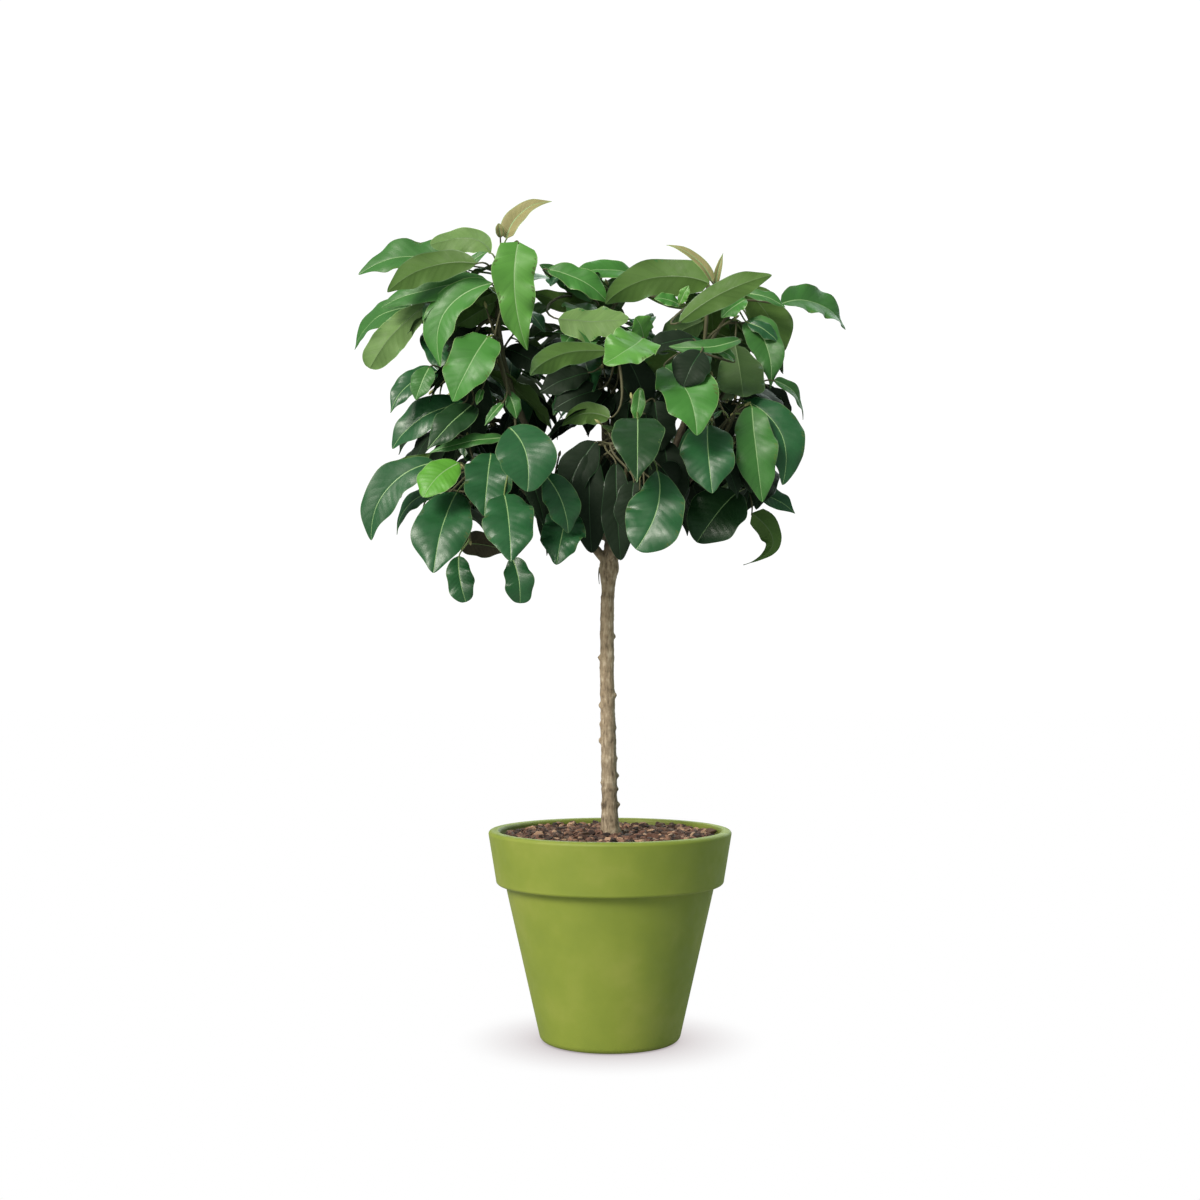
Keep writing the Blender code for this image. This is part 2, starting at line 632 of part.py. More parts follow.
def grow_ruled(foliage, mass, twigs):
    """The leaves that fill in below the named ones, each a golden angle round the shoot from the last."""
    grown = []
    for index, (shoot, (points, _, _)) in enumerate(zip(mass.shoots, twigs)):
        rng = random.Random(f"{SEED} {mass.name} {index}")
        around = rng.uniform(0.0, 2 * math.pi)
        roots, along = leaf_roots(points, len(shoot.leaves) + shoot.fill)
        for root in roots[len(shoot.leaves) :]:
            for _ in range(TRIES):
                around += GOLDEN_ANGLE
                length = rng.uniform(*LEAF_LENGTHS)
                width = length * rng.uniform(*LEAF_WIDTHS)
                tip = ruled_tip(root, around, length, rng)
                facing = UP + rng.uniform(-TILT_SPREAD, TILT_SPREAD) * direction(around + math.pi / 2, 0.0)
                if not foliage.in_space(mass.name, (root + tip) / 2, tip):
                    continue
                mesh = grow_leaf(foliage, mass.name, root, along, tip, width, facing)
                if mesh:
                    grown.append(mesh)
                    break
    return grown


def keep_largest_body(obj):
    """Drop loose scraps, and fill sealed hollows by dropping their inner skins."""
    mesh = bmesh.new()
    mesh.from_mesh(obj.data)
    unseen = set(mesh.faces)
    bodies = []
    while unseen:
        front = [unseen.pop()]
        body = set(front)
        while front:
            face = front.pop()
            for edge in filter(lambda edge: edge.is_manifold, face.edges):
                fresh = [other for other in edge.link_faces if other in unseen]
                unseen.difference_update(fresh)
                body.update(fresh)
                front += fresh
        bodies.append(body)
    largest = max(bodies, key=len)
    doomed = [face for body in bodies if body is not largest for face in body]
    bmesh.ops.delete(mesh, geom=doomed, context="FACES")
    mesh.to_mesh(obj.data)
    mesh.free()


def join_mass(name, twig_meshes, leaf_meshes, material):
    """One solid from a mass's stem, twigs and leaves."""
    body = add_object(name, *twig_meshes[0], material)
    pieces = bpy.data.collections.new(name + "_pieces")
    bpy.context.scene.collection.children.link(pieces)
    for index, mesh in enumerate(twig_meshes[1:] + leaf_meshes):
        piece = add_object(f"{name}_piece_{index}", *mesh, material)
        bpy.context.scene.collection.objects.unlink(piece)
        pieces.objects.link(piece)
    union = body.modifiers.new("join", "BOOLEAN")
    union.operation = "UNION"
    union.solver = "MANIFOLD"  # EXACT leaves inner skins where stalks cross inside a twig
    union.operand_type = "COLLECTION"
    union.collection = pieces
    bpy.context.view_layer.update()
    joined = bpy.data.meshes.new_from_object(body.evaluated_get(bpy.context.evaluated_depsgraph_get()))
    body.modifiers.clear()
    body.data = joined
    for piece in list(pieces.objects):
        bpy.data.objects.remove(piece)
    bpy.data.collections.remove(pieces)
    keep_largest_body(body)


def make_foliage(paths, limb_meshes, material):
    foliage = Foliage(limb_meshes)
    twigs = {mass.name: twig_paths(mass, paths) for mass in MASSES}
    twig_meshes = {name: [tube(*twig, TWIG_SIDES) for twig in found] for name, found in twigs.items()}
    for name, meshes in twig_meshes.items():
        foliage.whole[name] += [skin_of(mesh) for mesh in meshes]
    named = {mass.name: grow_named(foliage, mass, twigs[mass.name]) for mass in MASSES}
    for mass in MASSES:
        leaves = named[mass.name] + grow_ruled(foliage, mass, twigs[mass.name])
        join_mass(mass.name, twig_meshes[mass.name], leaves, material)


def main():
    for obj in list(bpy.data.objects):
        bpy.data.objects.remove(obj)
    make_pot(finish("pot_plastic", *GREEN_PLASTIC))
    make_soil(finish("potting_mix", *POTTING_MIX))
    paths, limb_meshes = make_limbs(finish("bark", *BARK))
    make_foliage(paths, limb_meshes, finish("foliage", *FOLIAGE))


main()
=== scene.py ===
"""A young evergreen standard in its green pot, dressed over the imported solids.

The limbs, the twigs and the large leaves follow the same rule as the solids, so they fall in the same places.
Each leaf is then a full blade with rib, veins and margin, and finer twigs with smaller leaves fill the crown.
Metres, +Z up, the front faces -Y.
"""

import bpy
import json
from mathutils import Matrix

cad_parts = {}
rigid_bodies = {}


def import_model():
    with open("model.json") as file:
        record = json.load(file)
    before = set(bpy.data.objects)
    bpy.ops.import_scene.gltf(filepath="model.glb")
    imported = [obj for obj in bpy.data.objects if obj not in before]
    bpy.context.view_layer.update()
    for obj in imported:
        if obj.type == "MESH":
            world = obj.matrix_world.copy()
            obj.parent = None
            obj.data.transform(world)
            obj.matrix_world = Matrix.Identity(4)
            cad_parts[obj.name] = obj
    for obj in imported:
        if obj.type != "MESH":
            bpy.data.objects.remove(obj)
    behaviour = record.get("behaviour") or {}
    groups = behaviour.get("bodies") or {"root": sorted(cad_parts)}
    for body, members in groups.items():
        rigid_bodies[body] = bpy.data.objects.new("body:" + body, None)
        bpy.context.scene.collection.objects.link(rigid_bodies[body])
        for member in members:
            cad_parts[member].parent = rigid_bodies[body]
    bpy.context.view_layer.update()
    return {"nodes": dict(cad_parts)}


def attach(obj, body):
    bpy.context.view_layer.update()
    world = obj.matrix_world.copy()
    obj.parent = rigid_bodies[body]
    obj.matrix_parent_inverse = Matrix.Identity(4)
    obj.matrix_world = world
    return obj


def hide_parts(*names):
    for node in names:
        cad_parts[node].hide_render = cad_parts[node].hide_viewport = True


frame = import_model()

import itertools
import json
import math
import random
from collections import namedtuple

import bpy
import numpy as np
from mathutils import Vector
from mathutils.bvhtree import BVHTree

CLEARANCE = 0.0003
UP = np.array((0.0, 0.0, 1.0))
FRONT = np.array((0.0, -1.0, 0.0))

# ---- the plant's sizes, as in the solids ----

POT_HEIGHT = 0.344
RIM_RADIUS = 0.200
LIP_WIDTH = 0.019
LIP_ROUNDING = 0.006
BAND_HEIGHT = 0.088
BAND_FOOT_RADIUS = 0.1875
SHOULDER_RADIUS = 0.1715
FOOT_RADIUS = 0.1165
FOOT_ROUNDING = 0.012
WALL = 0.008
BASE_THICKNESS = 0.010
DRAIN_HOLES = 5
DRAIN_RADIUS = 0.008
DRAIN_RING_RADIUS = 0.072
SOIL_TOP = 0.330

TRUNK_FOOT = SOIL_TOP + CLEARANCE
TRUNK_TOP = 0.806
TRUNK_RADIUS_LOW = 0.0133
TRUNK_RADIUS_HIGH = 0.0103
FLARE = 0.0065
FLARE_HEIGHT = 0.018
HEAD_SWELL = 0.0062
HEAD_HEIGHT = 0.776
HEAD_SPREAD = 0.020
HEAD_ROUNDING = 0.014
SWAY = 0.0050
SWAY_POWER = 1.6
SWAY_ASIDE = 0.4
HEAD_CLOSING = 0.8
TRUNK_SIDES = 12
TRUNK_RINGS = 37
HEAD_RINGS = (0.55, 0.22, 0.0)
KNOT_SIZE = 0.0042
KNOT_SPREAD = 0.0065
KNOT_WIDTH = 0.45
KNOTS = ((0.385, 0.1), (0.432, 0.2), (0.490, 3.3), (0.548, 2.9), (0.565, -0.2), (0.627, 3.2), (0.662, 0.3))

BOUGH_SIDES = 8
BOUGH_RINGS = 8
BOUGH_REACH = 0.42

TWIG_SIDES = 3
STEM_RINGS = 6
STEM_REACH = 0.50
TWIG_RINGS = 4
TWIG_REACH = 0.45
TWIG_TURN = 0.8
STEM_RADIUS = 0.0050
TWIG_RADIUS = 0.0036
TIP_RADIUS = 0.0022
FIRST_NODE = 0.003
NODE_SPACING = 0.009

PETIOLE_LENGTH = 0.026
PETIOLE_RADIUS = 0.0011
STALK_RISE = 0.8
LEAF_THICKNESS = 0.011
LEAF_STATIONS = (0.13, 0.42, 0.76)
WIDTH_NEAR_BASE = 0.52
WIDTH_NEAR_TIP = 0.76
FOLD = math.radians(16)
ARCH = 42
GUARD = 0.0012
GOLDEN_ANGLE = math.radians(137.5)
LEAF_LENGTHS = (0.115, 0.165)
LEAF_WIDTHS = (0.45, 0.54)
LOW_CROWN = 0.88
HIGH_CROWN = 1.25
PITCH_LOW = math.radians(-64)
PITCH_HIGH = math.radians(-6)
PITCH_SPREAD = math.radians(16)
TILT_SPREAD = 0.35
CROWN_CENTRE = np.array((-0.01, 0.0, 1.035))
CROWN_RADII = np.array((0.41, 0.40, 0.265))
TRIES = 9
DEPTH_SHIFTS = (0.0, 0.018, -0.018, 0.036, -0.036, 0.054, -0.054, 0.075, -0.075)
NAMED_TILT = 0.6
SEEN_SHIFTS = (0.0, 0.012, 0.024, -0.012, 0.036, -0.024, 0.05, -0.04)
SEED = 11

# ---- what only shows close up ----

# Finer twigs: where they leave a twig, as shares of its length, and their own leaves
TWIGLET_SHARES = (0.20, 0.40, 0.60, 0.80)
BOUGH_SHARES = (0.05, 0.2, 0.35, 0.5, 0.65, 0.8, 0.95)
TWIGLET_LENGTHS = (0.035, 0.065)
TWIGLET_LEAVES = 3
TWIGLET_RADII = (0.0021, 0.0019, 0.0016, 0.0013)
TWIGLET_RISE = 0.3
TWIGLET_TURN = 0.9
TWIGLET_ASIDE = 0.7
TWIGLET_LIFT = 0.25
TWIGLET_REACH = 0.4
TWIGLET_SINK = 0.7  # of the radius of its twig, where it starts
BOUGH_TIP_RADIUS = 0.0056
SMALL_LENGTHS = (0.070, 0.115)
SMALL_LOOK_DROP = 0.10  # a small leaf looks as old as one of the rule so much lower
LOOK_SPREAD = 0.35
# The looks of leaves of the rule, each up to a share of the crown's height; above the last they are bright. The
# lowest look is old leaves darkened further with painted shade, for the shade low in the crown
LOOK_HEIGHTS = ((0.15, "deep"), (0.5, "dark"), (0.95, "mid"))
# The eye in front of the plant, as the photo's camera stands
EYE = np.array((-0.0165, -2.95, 0.656))
# Lines of sight that stay open: where they cross the trunk's plane, and how wide they are, in mm
SKY = ((-102, 962, 15), (-74, 983, 9), (-21, 998, 14), (-190, 1040, 9), (-132, 1066, 8), (-214, 1231, 7),
       (-246, 1172, 6), (-286, 1079, 6), (74, 1239, 15), (50, 1231, 8), (36, 1201, 12), (82, 1177, 12),
       (-96, 1198, 12), (-74, 1105, 9), (149, 1190, 7), (193, 1061, 8), (195, 920, 6), (82, 975, 6),
       (241, 863, 8), (-157, 880, 8), (-132, 855, 10), (-225, 842, 6), (-268, 745, 18), (-175, 752, 20),
       (-49, 880, 7))

# Leaf: side veins, rows of points between two of them, and points across each half of the blade
Grid = namedtuple("Grid", "veins panel_rows half_columns")
LARGE = Grid(11, 3, 7)
MIDDLE = Grid(10, 2, 6)
SMALL = Grid(8, 2, 4)
VEIN_WIDTH = 0.0007
CHEVRON = 0.70  # how far the rows, and so the side veins, run forward to the margin
RIB_WIDTH = 0.0018
MARGIN_WIDTH = 0.0009
BLADE_THICKNESS = 0.0007
RIB_DEPTH = 0.0013
VEIN_RELIEF = 0.0003
RIB_STEPS = 81
FIRST_VEIN = 0.4  # of the step between two side veins
RIB_SHARE = 0.42  # most of the half width that the rib takes, and the same for a margin
MARGIN_SHARE = 0.30
NARROWEST = 0.03  # share of the widest half width that is left at both ends
DRAWN_FROM = 0.72  # of the length, where a tip begins to be drawn out, and over how much of it
DRAWN_OVER = 0.25
TIP_DROOP = 0.04  # as a share of the leaf's length, as the next two
RIB_SWAY = 0.008
RIB_BOW = 0.03
TWIST = 16  # degrees from end to end
TWIST_CENTRE = 0.35
FOLD_SPREAD = 4
FOLD_ROUNDING = 0.02
EDGE_DROOP = (0.04, 0.16)
EDGE_WAVES = (1.6, 3.4)
FULL_VEIN_WIDTH = 0.02  # half width from which the side veins have their full relief
RIB_GROOVE = 0.0003

# A leaf's look: the colour families of its two sides, which side faces forward, the waves along its
# margin as a share of its width, its fold along the rib in degrees, and how far a turned one faces up
Look = namedtuple("Look", "top under side wave fold rise", defaults=(16, 0.5))
LOOKS = {
    "fresh": Look("fresh", "olive", 1, 0.06, 12),
    "ruffled": Look("fresh", "olive", 1, 0.09, 10),
    "bright": Look("bright", "olive", 1, 0.06),
    "wavy": Look("bright", "olive", 1, 0.075, 14),
    "mid": Look("mid", "olive", 1, 0.065),
    "dark": Look("dark", "dull", 1, 0.055, 12),
    "rough": Look("dark", "dull", 1, 0.07, 10),
    "gloss": Look("dark", "dull", 1, 0.045, 8),
    # The next two looks are painted shade: their leaves are darkened to stand for the shade inside the crown.
    "shady": Look("shady", "dull", 1, 0.04, 12),
    "deep": Look("deep", "deep", 1, 0.04, 12),
    "olive": Look("mid", "olive", -1, 0.055, 18, -0.1),
    "pale": Look("mid", "pale", -1, 0.065, 18, -0.4),
    "lime": Look("lime", "lime", 1, 0.02, 8),
    "tan": Look("tan", "tan", 1, 0.01, 24),
    "strip": Look("dull", "olive", -1, 0.05, 30),
    "dull": Look("dark", "dull", -1, 0.04, 14, 0.2),
    "brown": Look("dark", "brown", -1, 0.04, 14, 0.0),
}
# A blade's outline: how it widens from its base, how it narrows to its tip, and how far the tip is drawn out
FORMS = {
    "egg": (0.52, 0.76, 0.45),
    "oval": (0.60, 0.62, 0.38),
    "round": (0.62, 0.55, 0.20),
    "spoon": (0.88, 0.50, 0.15),
    "strap": (0.42, 0.58, 0.40),
    "blunt": (0.55, 0.42, 0.0),
    "drop": (0.45, 0.95, 0.35),
    "eared": (0.26, 0.72, 0.30),
    "broad": (0.40, 0.58, 0.30),
    "comma": (0.34, 1.60, 0.10),
}
COMMON_FORMS = ("egg", "egg", "oval", "oval", "strap")
# Colour families: the middle shade, roughness, and how strongly the surface mirrors
FAMILIES = {
    "fresh": ((0.085, 0.240, 0.040), 0.42, 0.35),
    "bright": ((0.050, 0.178, 0.031), 0.42, 0.35),
    "mid": ((0.042, 0.142, 0.030), 0.44, 0.32),
    "dark": ((0.016, 0.080, 0.026), 0.36, 0.42),
    # The shady family and the darkest one after it are painted shade: old dark-green leaves darkened further,
    # with little gloss, to stand for the shade inside the crown.
    "shady": ((0.013, 0.044, 0.014), 0.40, 0.30),
    "deep": ((0.012, 0.022, 0.012), 0.60, 0.10),
    "olive": ((0.065, 0.130, 0.026), 0.60, 0.25),
    "pale": ((0.115, 0.200, 0.060), 0.60, 0.25),
    "dull": ((0.046, 0.090, 0.026), 0.60, 0.25),
    "brown": ((0.040, 0.036, 0.022), 0.60, 0.20),
    "lime": ((0.080, 0.260, 0.024), 0.45, 0.35),
    "tan": ((0.260, 0.235, 0.105), 0.60, 0.25),
}
# Two shades of the blade between its veins, and that of the veins
SHADES = (0.96, 1.04, 1.12)
DARK_FAMILIES = ("dark", "shady", "deep", "dull", "olive", "brown", "mid")
SHADE_NAMES = [f"{family}_{shade}" for family in FAMILIES for shade in range(len(SHADES))]
RIB, DARK_RIB, MARGIN, DARK_MARGIN = range(len(SHADE_NAMES), len(SHADE_NAMES) + 4)
TWIG, STALK, BUD = range(3)

Bough = namedtuple("Bough", "name parent share azimuth rise end radius tip_radius")
Mass = namedtuple("Mass", "name bough shoots")
Shoot = namedtuple("Shoot", "tip fill leaves", defaults=((),))
# A named leaf. As in the solids: its tip's x and z, its length and width in mm, whether it leans forward (1),
# back (-1) or neither, and its arch in degrees. In the scene alone: its look, where the front sees its blade
# start and end on the trunk's plane in mm, how far its rib bows to the left, its form, its own width and
# curl in place of the solids' width and arch, and how far ahead of its first place it stands in mm
Leaf = namedtuple(
    "Leaf", "x z length width lean look at to bow form wide ahead arch curl",
    defaults=(1, "mid", None, None, 0.0, "egg", None, 0, ARCH, None),
)

BOUGHS = (
    Bough("bough_left", "trunk", 0.945, 186, 48, (-0.152, -0.045, 1.040), 0.0072, 0.0056),
    Bough("bough_right", "trunk", 0.950, -8, 50, (0.128, -0.030, 1.030), 0.0072, 0.0056),
    Bough("bough_back", "trunk", 0.930, 92, 42, (0.005, 0.130, 1.010), 0.0070, 0.0056),
    Bough("bough_front", "trunk", 0.940, -82, 38, (0.022, -0.085, 0.905), 0.0058, 0.0052),
    Bough("bough_centre", "trunk", 0.988, 100, 84, (-0.012, 0.010, 1.060), 0.0080, 0.0056),
    Bough("bough_lower_left", "bough_left", 0.30, 205, 12, (-0.130, -0.075, 0.890), 0.0056, 0.0052),
    Bough("bough_lower_right", "bough_right", 0.34, -28, 22, (0.145, -0.065, 0.930), 0.0056, 0.0052),
    Bough("bough_back_left", "bough_back", 0.30, 150, 24, (-0.125, 0.115, 0.960), 0.0056, 0.0052),
    Bough("bough_back_right", "bough_back", 0.42, 28, 30, (0.130, 0.120, 0.985), 0.0056, 0.0052),
)

MASSES = (
    Mass("foliage_upper_left", "bough_left", (
        Shoot((-0.177, -0.080, 1.264), 1, (
            Leaf(-100, 1365, 85, 24, 0, "tan", (-172, 1322), (-97, 1385), 0.15, "eared", 38, arch=95, curl=30),
            Leaf(-130, 1115, 150, 72, 1, "ruffled", (-152, 1317), (-137, 1137), -0.05, "eared", 70, 15),
            Leaf(-400, 1250, 185, 80, 0, "mid", (-231, 1277), (-418, 1266), -0.05, "oval", 74, -50),
            Leaf(-290, 1285, 125, 60, -1, "pale", (-198, 1299), (-297, 1310), -0.24, "spoon", 56, 40),
            Leaf(-360, 1215, 160, 60, 1, "olive", (-221, 1281), (-369, 1233), -0.14, "oval", 54, 75),
            Leaf(-370, 1190, 165, 58, -1, "mid", (-200, 1249), (-380, 1210), 0.02, "oval", 58, 20),
            Leaf(-275, 1100, 150, 62, 0, "bright", (-195, 1248), (-281, 1110), -0.24, "oval", ahead=50))),
        Shoot((-0.279, -0.020, 1.214), 2, (
            Leaf(-405, 1105, 140, 66, 0, "pale", (-304, 1211), (-398, 1106), -0.13, "blunt", 58, 40),
            Leaf(-430, 1140, 150, 50, -1, "mid", (-329, 1208), (-426, 1139), -0.06, "egg", 54, -25),
            Leaf(-360, 1150, 110, 50, 1, "dark", (-297, 1173), (-279, 1096), 0.0, "egg", 46, -20))),
        Shoot((-0.188, -0.120, 1.140), 2, (
            Leaf(-245, 1025, 120, 74, 1, "wavy", (-202, 1160), (-261, 1053), 0.0, "broad", 82),)),
        Shoot((-0.239, -0.070, 1.067), 2, (
            Leaf(-345, 1020, 110, 55, 1, "dark", (-284, 1101), (-364, 1034), -0.12, "egg", 46),
            Leaf(-305, 1045, 60, 36, 1, "mid", (-299, 1109), (-322, 1054), 0.0, "oval", 38, 45),
            Leaf(-355, 970, 130, 75, -1, "dark", (-241, 1049), (-362, 975), -0.04, "oval", 64),
            Leaf(-300, 960, 120, 60, 1, "shady", (-228, 1046), (-302, 973), 0.0, "egg", 58),
            Leaf(-225, 950, 110, 66, look="deep"))),
    )),
    Mass("foliage_lower_left", "bough_lower_left", (
        Shoot((-0.235, -0.130, 0.928), 1, (
            Leaf(-380, 815, 158, 78, 0, "dark", (-288, 950), (-395, 821), -0.17, "oval", 64, arch=60),
            Leaf(-295, 880, 86, 56, 1, "lime", (-250, 949), (-309, 894), -0.08, "round", 62, 10, arch=30),
            Leaf(-345, 825, 125, 45, -1, "dark", (-271, 897), (-355, 831), -0.20, "egg", 32),
            Leaf(-275, 762, 155, 90, 1, "dark", (-253, 901), (-292, 767), -0.04, "oval", 92),
            Leaf(-195, 850, 115, 76, 1, "dark", (-197, 965), (-208, 863), 0.0, "oval", 76, 15))),
        Shoot((-0.159, -0.180, 0.920), 1, (
            Leaf(-105, 875, 120, 86, 1, "gloss", (-167, 1008), (-137, 904), 0.10, "round", 90),
            Leaf(-155, 780, 130, 76, 1, "dark", (-175, 897), (-164, 787), 0.02, "oval", 80))),
        Shoot((-0.104, -0.120, 0.894), 1, (
            Leaf(-75, 830, 90, 54, 1, "gloss", (-107, 929), (-69, 833), 0.08, "oval", 56, 40),
            Leaf(-80, 780, 105, 66, 1, "rough", (-73, 866), (-89, 783), 0.0, "broad", 70))),
        Shoot((-0.228, -0.050, 0.818), 2, (
            Leaf(-220, 722, 80, 44, 1, "rough", (-250, 795), (-238, 719), -0.08, "blunt", 44),
            Leaf(-190, 800, 90, 50, -1, "brown", (-251, 813), (-172, 803), 0.10, "oval", 44))),
        Shoot((-0.157, -0.100, 0.808), 0, (
            Leaf(-150, 717, 75, 47, 1, "rough", (-162, 792), (-149, 717), 0.06, "blunt", 47),)),
    )),
    Mass("foliage_upper_centre", "bough_centre", (
        Shoot((-0.080, 0.020, 1.255), 5, (
            Leaf(0, 1200, 110, 60, 1, "bright", (40, 1261), (-64, 1259), -0.03, "strap", 44, -10),
            Leaf(35, 1295, 115, 52, -1, "olive", (-20, 1210), (-132, 1233), 0.0, "oval", 36, 20),
            Leaf(-110, 1185, 110, 60, 1, "bright", (-104, 1271), (-2, 1216), 0.05, "oval", 48, 75),
            Leaf(30, 1185, 125, 54, 1, "pale", (-86, 1188), (31, 1188), 0.05, "broad", 64, 115))),
        Shoot((0.018, -0.130, 1.130), 2, (
            Leaf(-135, 1070, 160, 50, 1, "olive", (-2, 1135), (-134, 1092), -0.13, "oval", 44),
            Leaf(-10, 1085, 125, 78, 1, "fresh", (55, 1157), (-10, 1114), 0.10, "broad", 80, 10),
            Leaf(50, 1125, 75, 42, 1, "fresh", (56, 1152), (43, 1191), 0.0, "round", 48, 45),
            Leaf(-75, 1005, 125, 38, 0, "olive", (0, 1023), (-79, 1010), -0.22, "egg", 38),
            Leaf(60, 1020, 110, 60, -1, "deep"))),
        Shoot((0.055, 0.040, 1.260), 7),
    )),
    Mass("foliage_upper_right", "bough_right", (
        Shoot((0.157, -0.080, 1.225), 1, (
            Leaf(95, 1295, 90, 18, 0, "tan", (170, 1249), (94, 1312), -0.12, "eared", 20, 92),
            Leaf(-5, 1180, 165, 72, 1, "olive", (165, 1248), (-7, 1213), -0.23, "broad", 66, arch=110, curl=92),
            Leaf(240, 1215, 180, 62, 1, "olive", (114, 1182), (269, 1261), 0.07, "oval", 44, 105))),
        Shoot((0.128, -0.140, 1.120), 2, (
            Leaf(135, 970, 145, 92, 1, "bright", (89, 1109), (144, 998), 0.10, "oval", 92),
            Leaf(95, 1090, 110, 62, 1, "mid", (217, 1155), (98, 1145), 0.20, "strap", 28, 10))),
        Shoot((0.218, 0.000, 1.221), 4, (
            Leaf(400, 1180, 140, 62, -1, "mid", (283, 1213), (392, 1172), 0.12, "oval", 68),
            Leaf(265, 1075, 130, 64, 1, "mid", (230, 1188), (266, 1074), 0.12, "drop", 62, 20),
            Leaf(310, 1175, 125, 64, -1, "olive", (221, 1238), (286, 1132), 0.12, "oval", 68),
            Leaf(205, 1055, 140, 78, 1, "dull", (208, 1145), (221, 1056), 0.0, "round", 80))),
    )),
    Mass("foliage_lower_right", "bough_lower_right", (
        Shoot((0.212, -0.080, 1.050), 3, (
            Leaf(320, 1025, 110, 28, -1, "mid", (271, 1086), (321, 1021), 0.12, "egg", 28),
            Leaf(275, 905, 165, 82, 1, "dark", (223, 1053), (286, 914), 0.15, "oval", 74),
            Leaf(235, 875, 160, 66, 1, "mid", (235, 1044), (253, 886), 0.0, "oval", 68))),
        Shoot((0.161, -0.120, 1.017), 1, (
            Leaf(160, 885, 125, 88, 1, "gloss", (162, 1013), (170, 902), 0.0, "oval", 84),)),
        Shoot((0.226, -0.030, 0.910), 2, (
            Leaf(140, 815, 115, 84, 1, "shady", (212, 901), (144, 818), 0.0, "round", 92, 40),
            Leaf(290, 860, 85, 52, 1, "dark", (228, 907), (307, 866), 0.0, "egg", 40),
            Leaf(230, 765, 140, 40, 0, "strip", (235, 866), (220, 780), 0.52, "comma", 48, arch=20))),
    )),
    Mass("foliage_lower_centre", "bough_front", (
        Shoot((0.040, -0.170, 1.022), 1, (
            Leaf(45, 900, 125, 82, 1, "shady", (46, 1023), (45, 919), 0.0, "drop", 82),
            Leaf(35, 975, 52, 28, 1, "bright", (50, 1074), (43, 1018), 0.0, "oval", 22))),
        Shoot((0.064, -0.170, 0.944), 1, (
            Leaf(55, 795, 140, 88, 1, "gloss", (78, 937), (43, 806), 0.12, "spoon", 92),
            Leaf(110, 850, 110, 68, -1, "deep"))),
        # Dark leaves of painted shade that hide the fork, as the crown's shade does.
        Shoot((-0.020, -0.100, 0.967), 2, (
            Leaf(-45, 850, 115, 76, 1, "deep", (-33, 967), (-30, 800), 0.0, "round", 60, 10),
            Leaf(10, 830, 125, 68, 1, "deep", (10, 950), (18, 788), 0.0, "round", 50, 35),
            Leaf(-85, 920, 100, 60, -1, "deep", (-23, 985), (-78, 887), 0.0, "oval", 62))),
    )),
    Mass("foliage_back_left", "bough_back_left", (
        Shoot((-0.230, 0.130, 1.150), 8),
        Shoot((-0.180, 0.245, 1.040), 8),
        Shoot((-0.275, 0.115, 0.970), 6),
        Shoot((-0.150, 0.170, 0.900), 6),
        Shoot((-0.300, 0.050, 1.075), 5),
    )),
    Mass("foliage_back_right", "bough_back_right", (
        Shoot((0.225, 0.130, 1.130), 8),
        Shoot((0.180, 0.245, 1.020), 8),
        Shoot((0.270, 0.110, 0.950), 6),
        Shoot((0.150, 0.160, 0.890), 6),
    )),
    Mass("foliage_back_centre", "bough_back", (
        Shoot((0.000, 0.170, 1.215), 8),
        Shoot((0.010, 0.290, 1.060), 8),
        Shoot((-0.080, 0.120, 1.130), 4),
        Shoot((0.000, 0.230, 0.930), 7),
    )),
)

CELL = 0.006  # of the map of how far forward the named leaves reach
MAP_SHARES = np.linspace(-0.9, 0.9, 13)  # of a blade's half width, where the map tests it
FAR = 9.0
HIDDEN_SHARE = 0.15  # of a leaf of the rule that may stand in front of a named one
EXTRA_NODE = 2
EXTRA_LEAN = 0.012
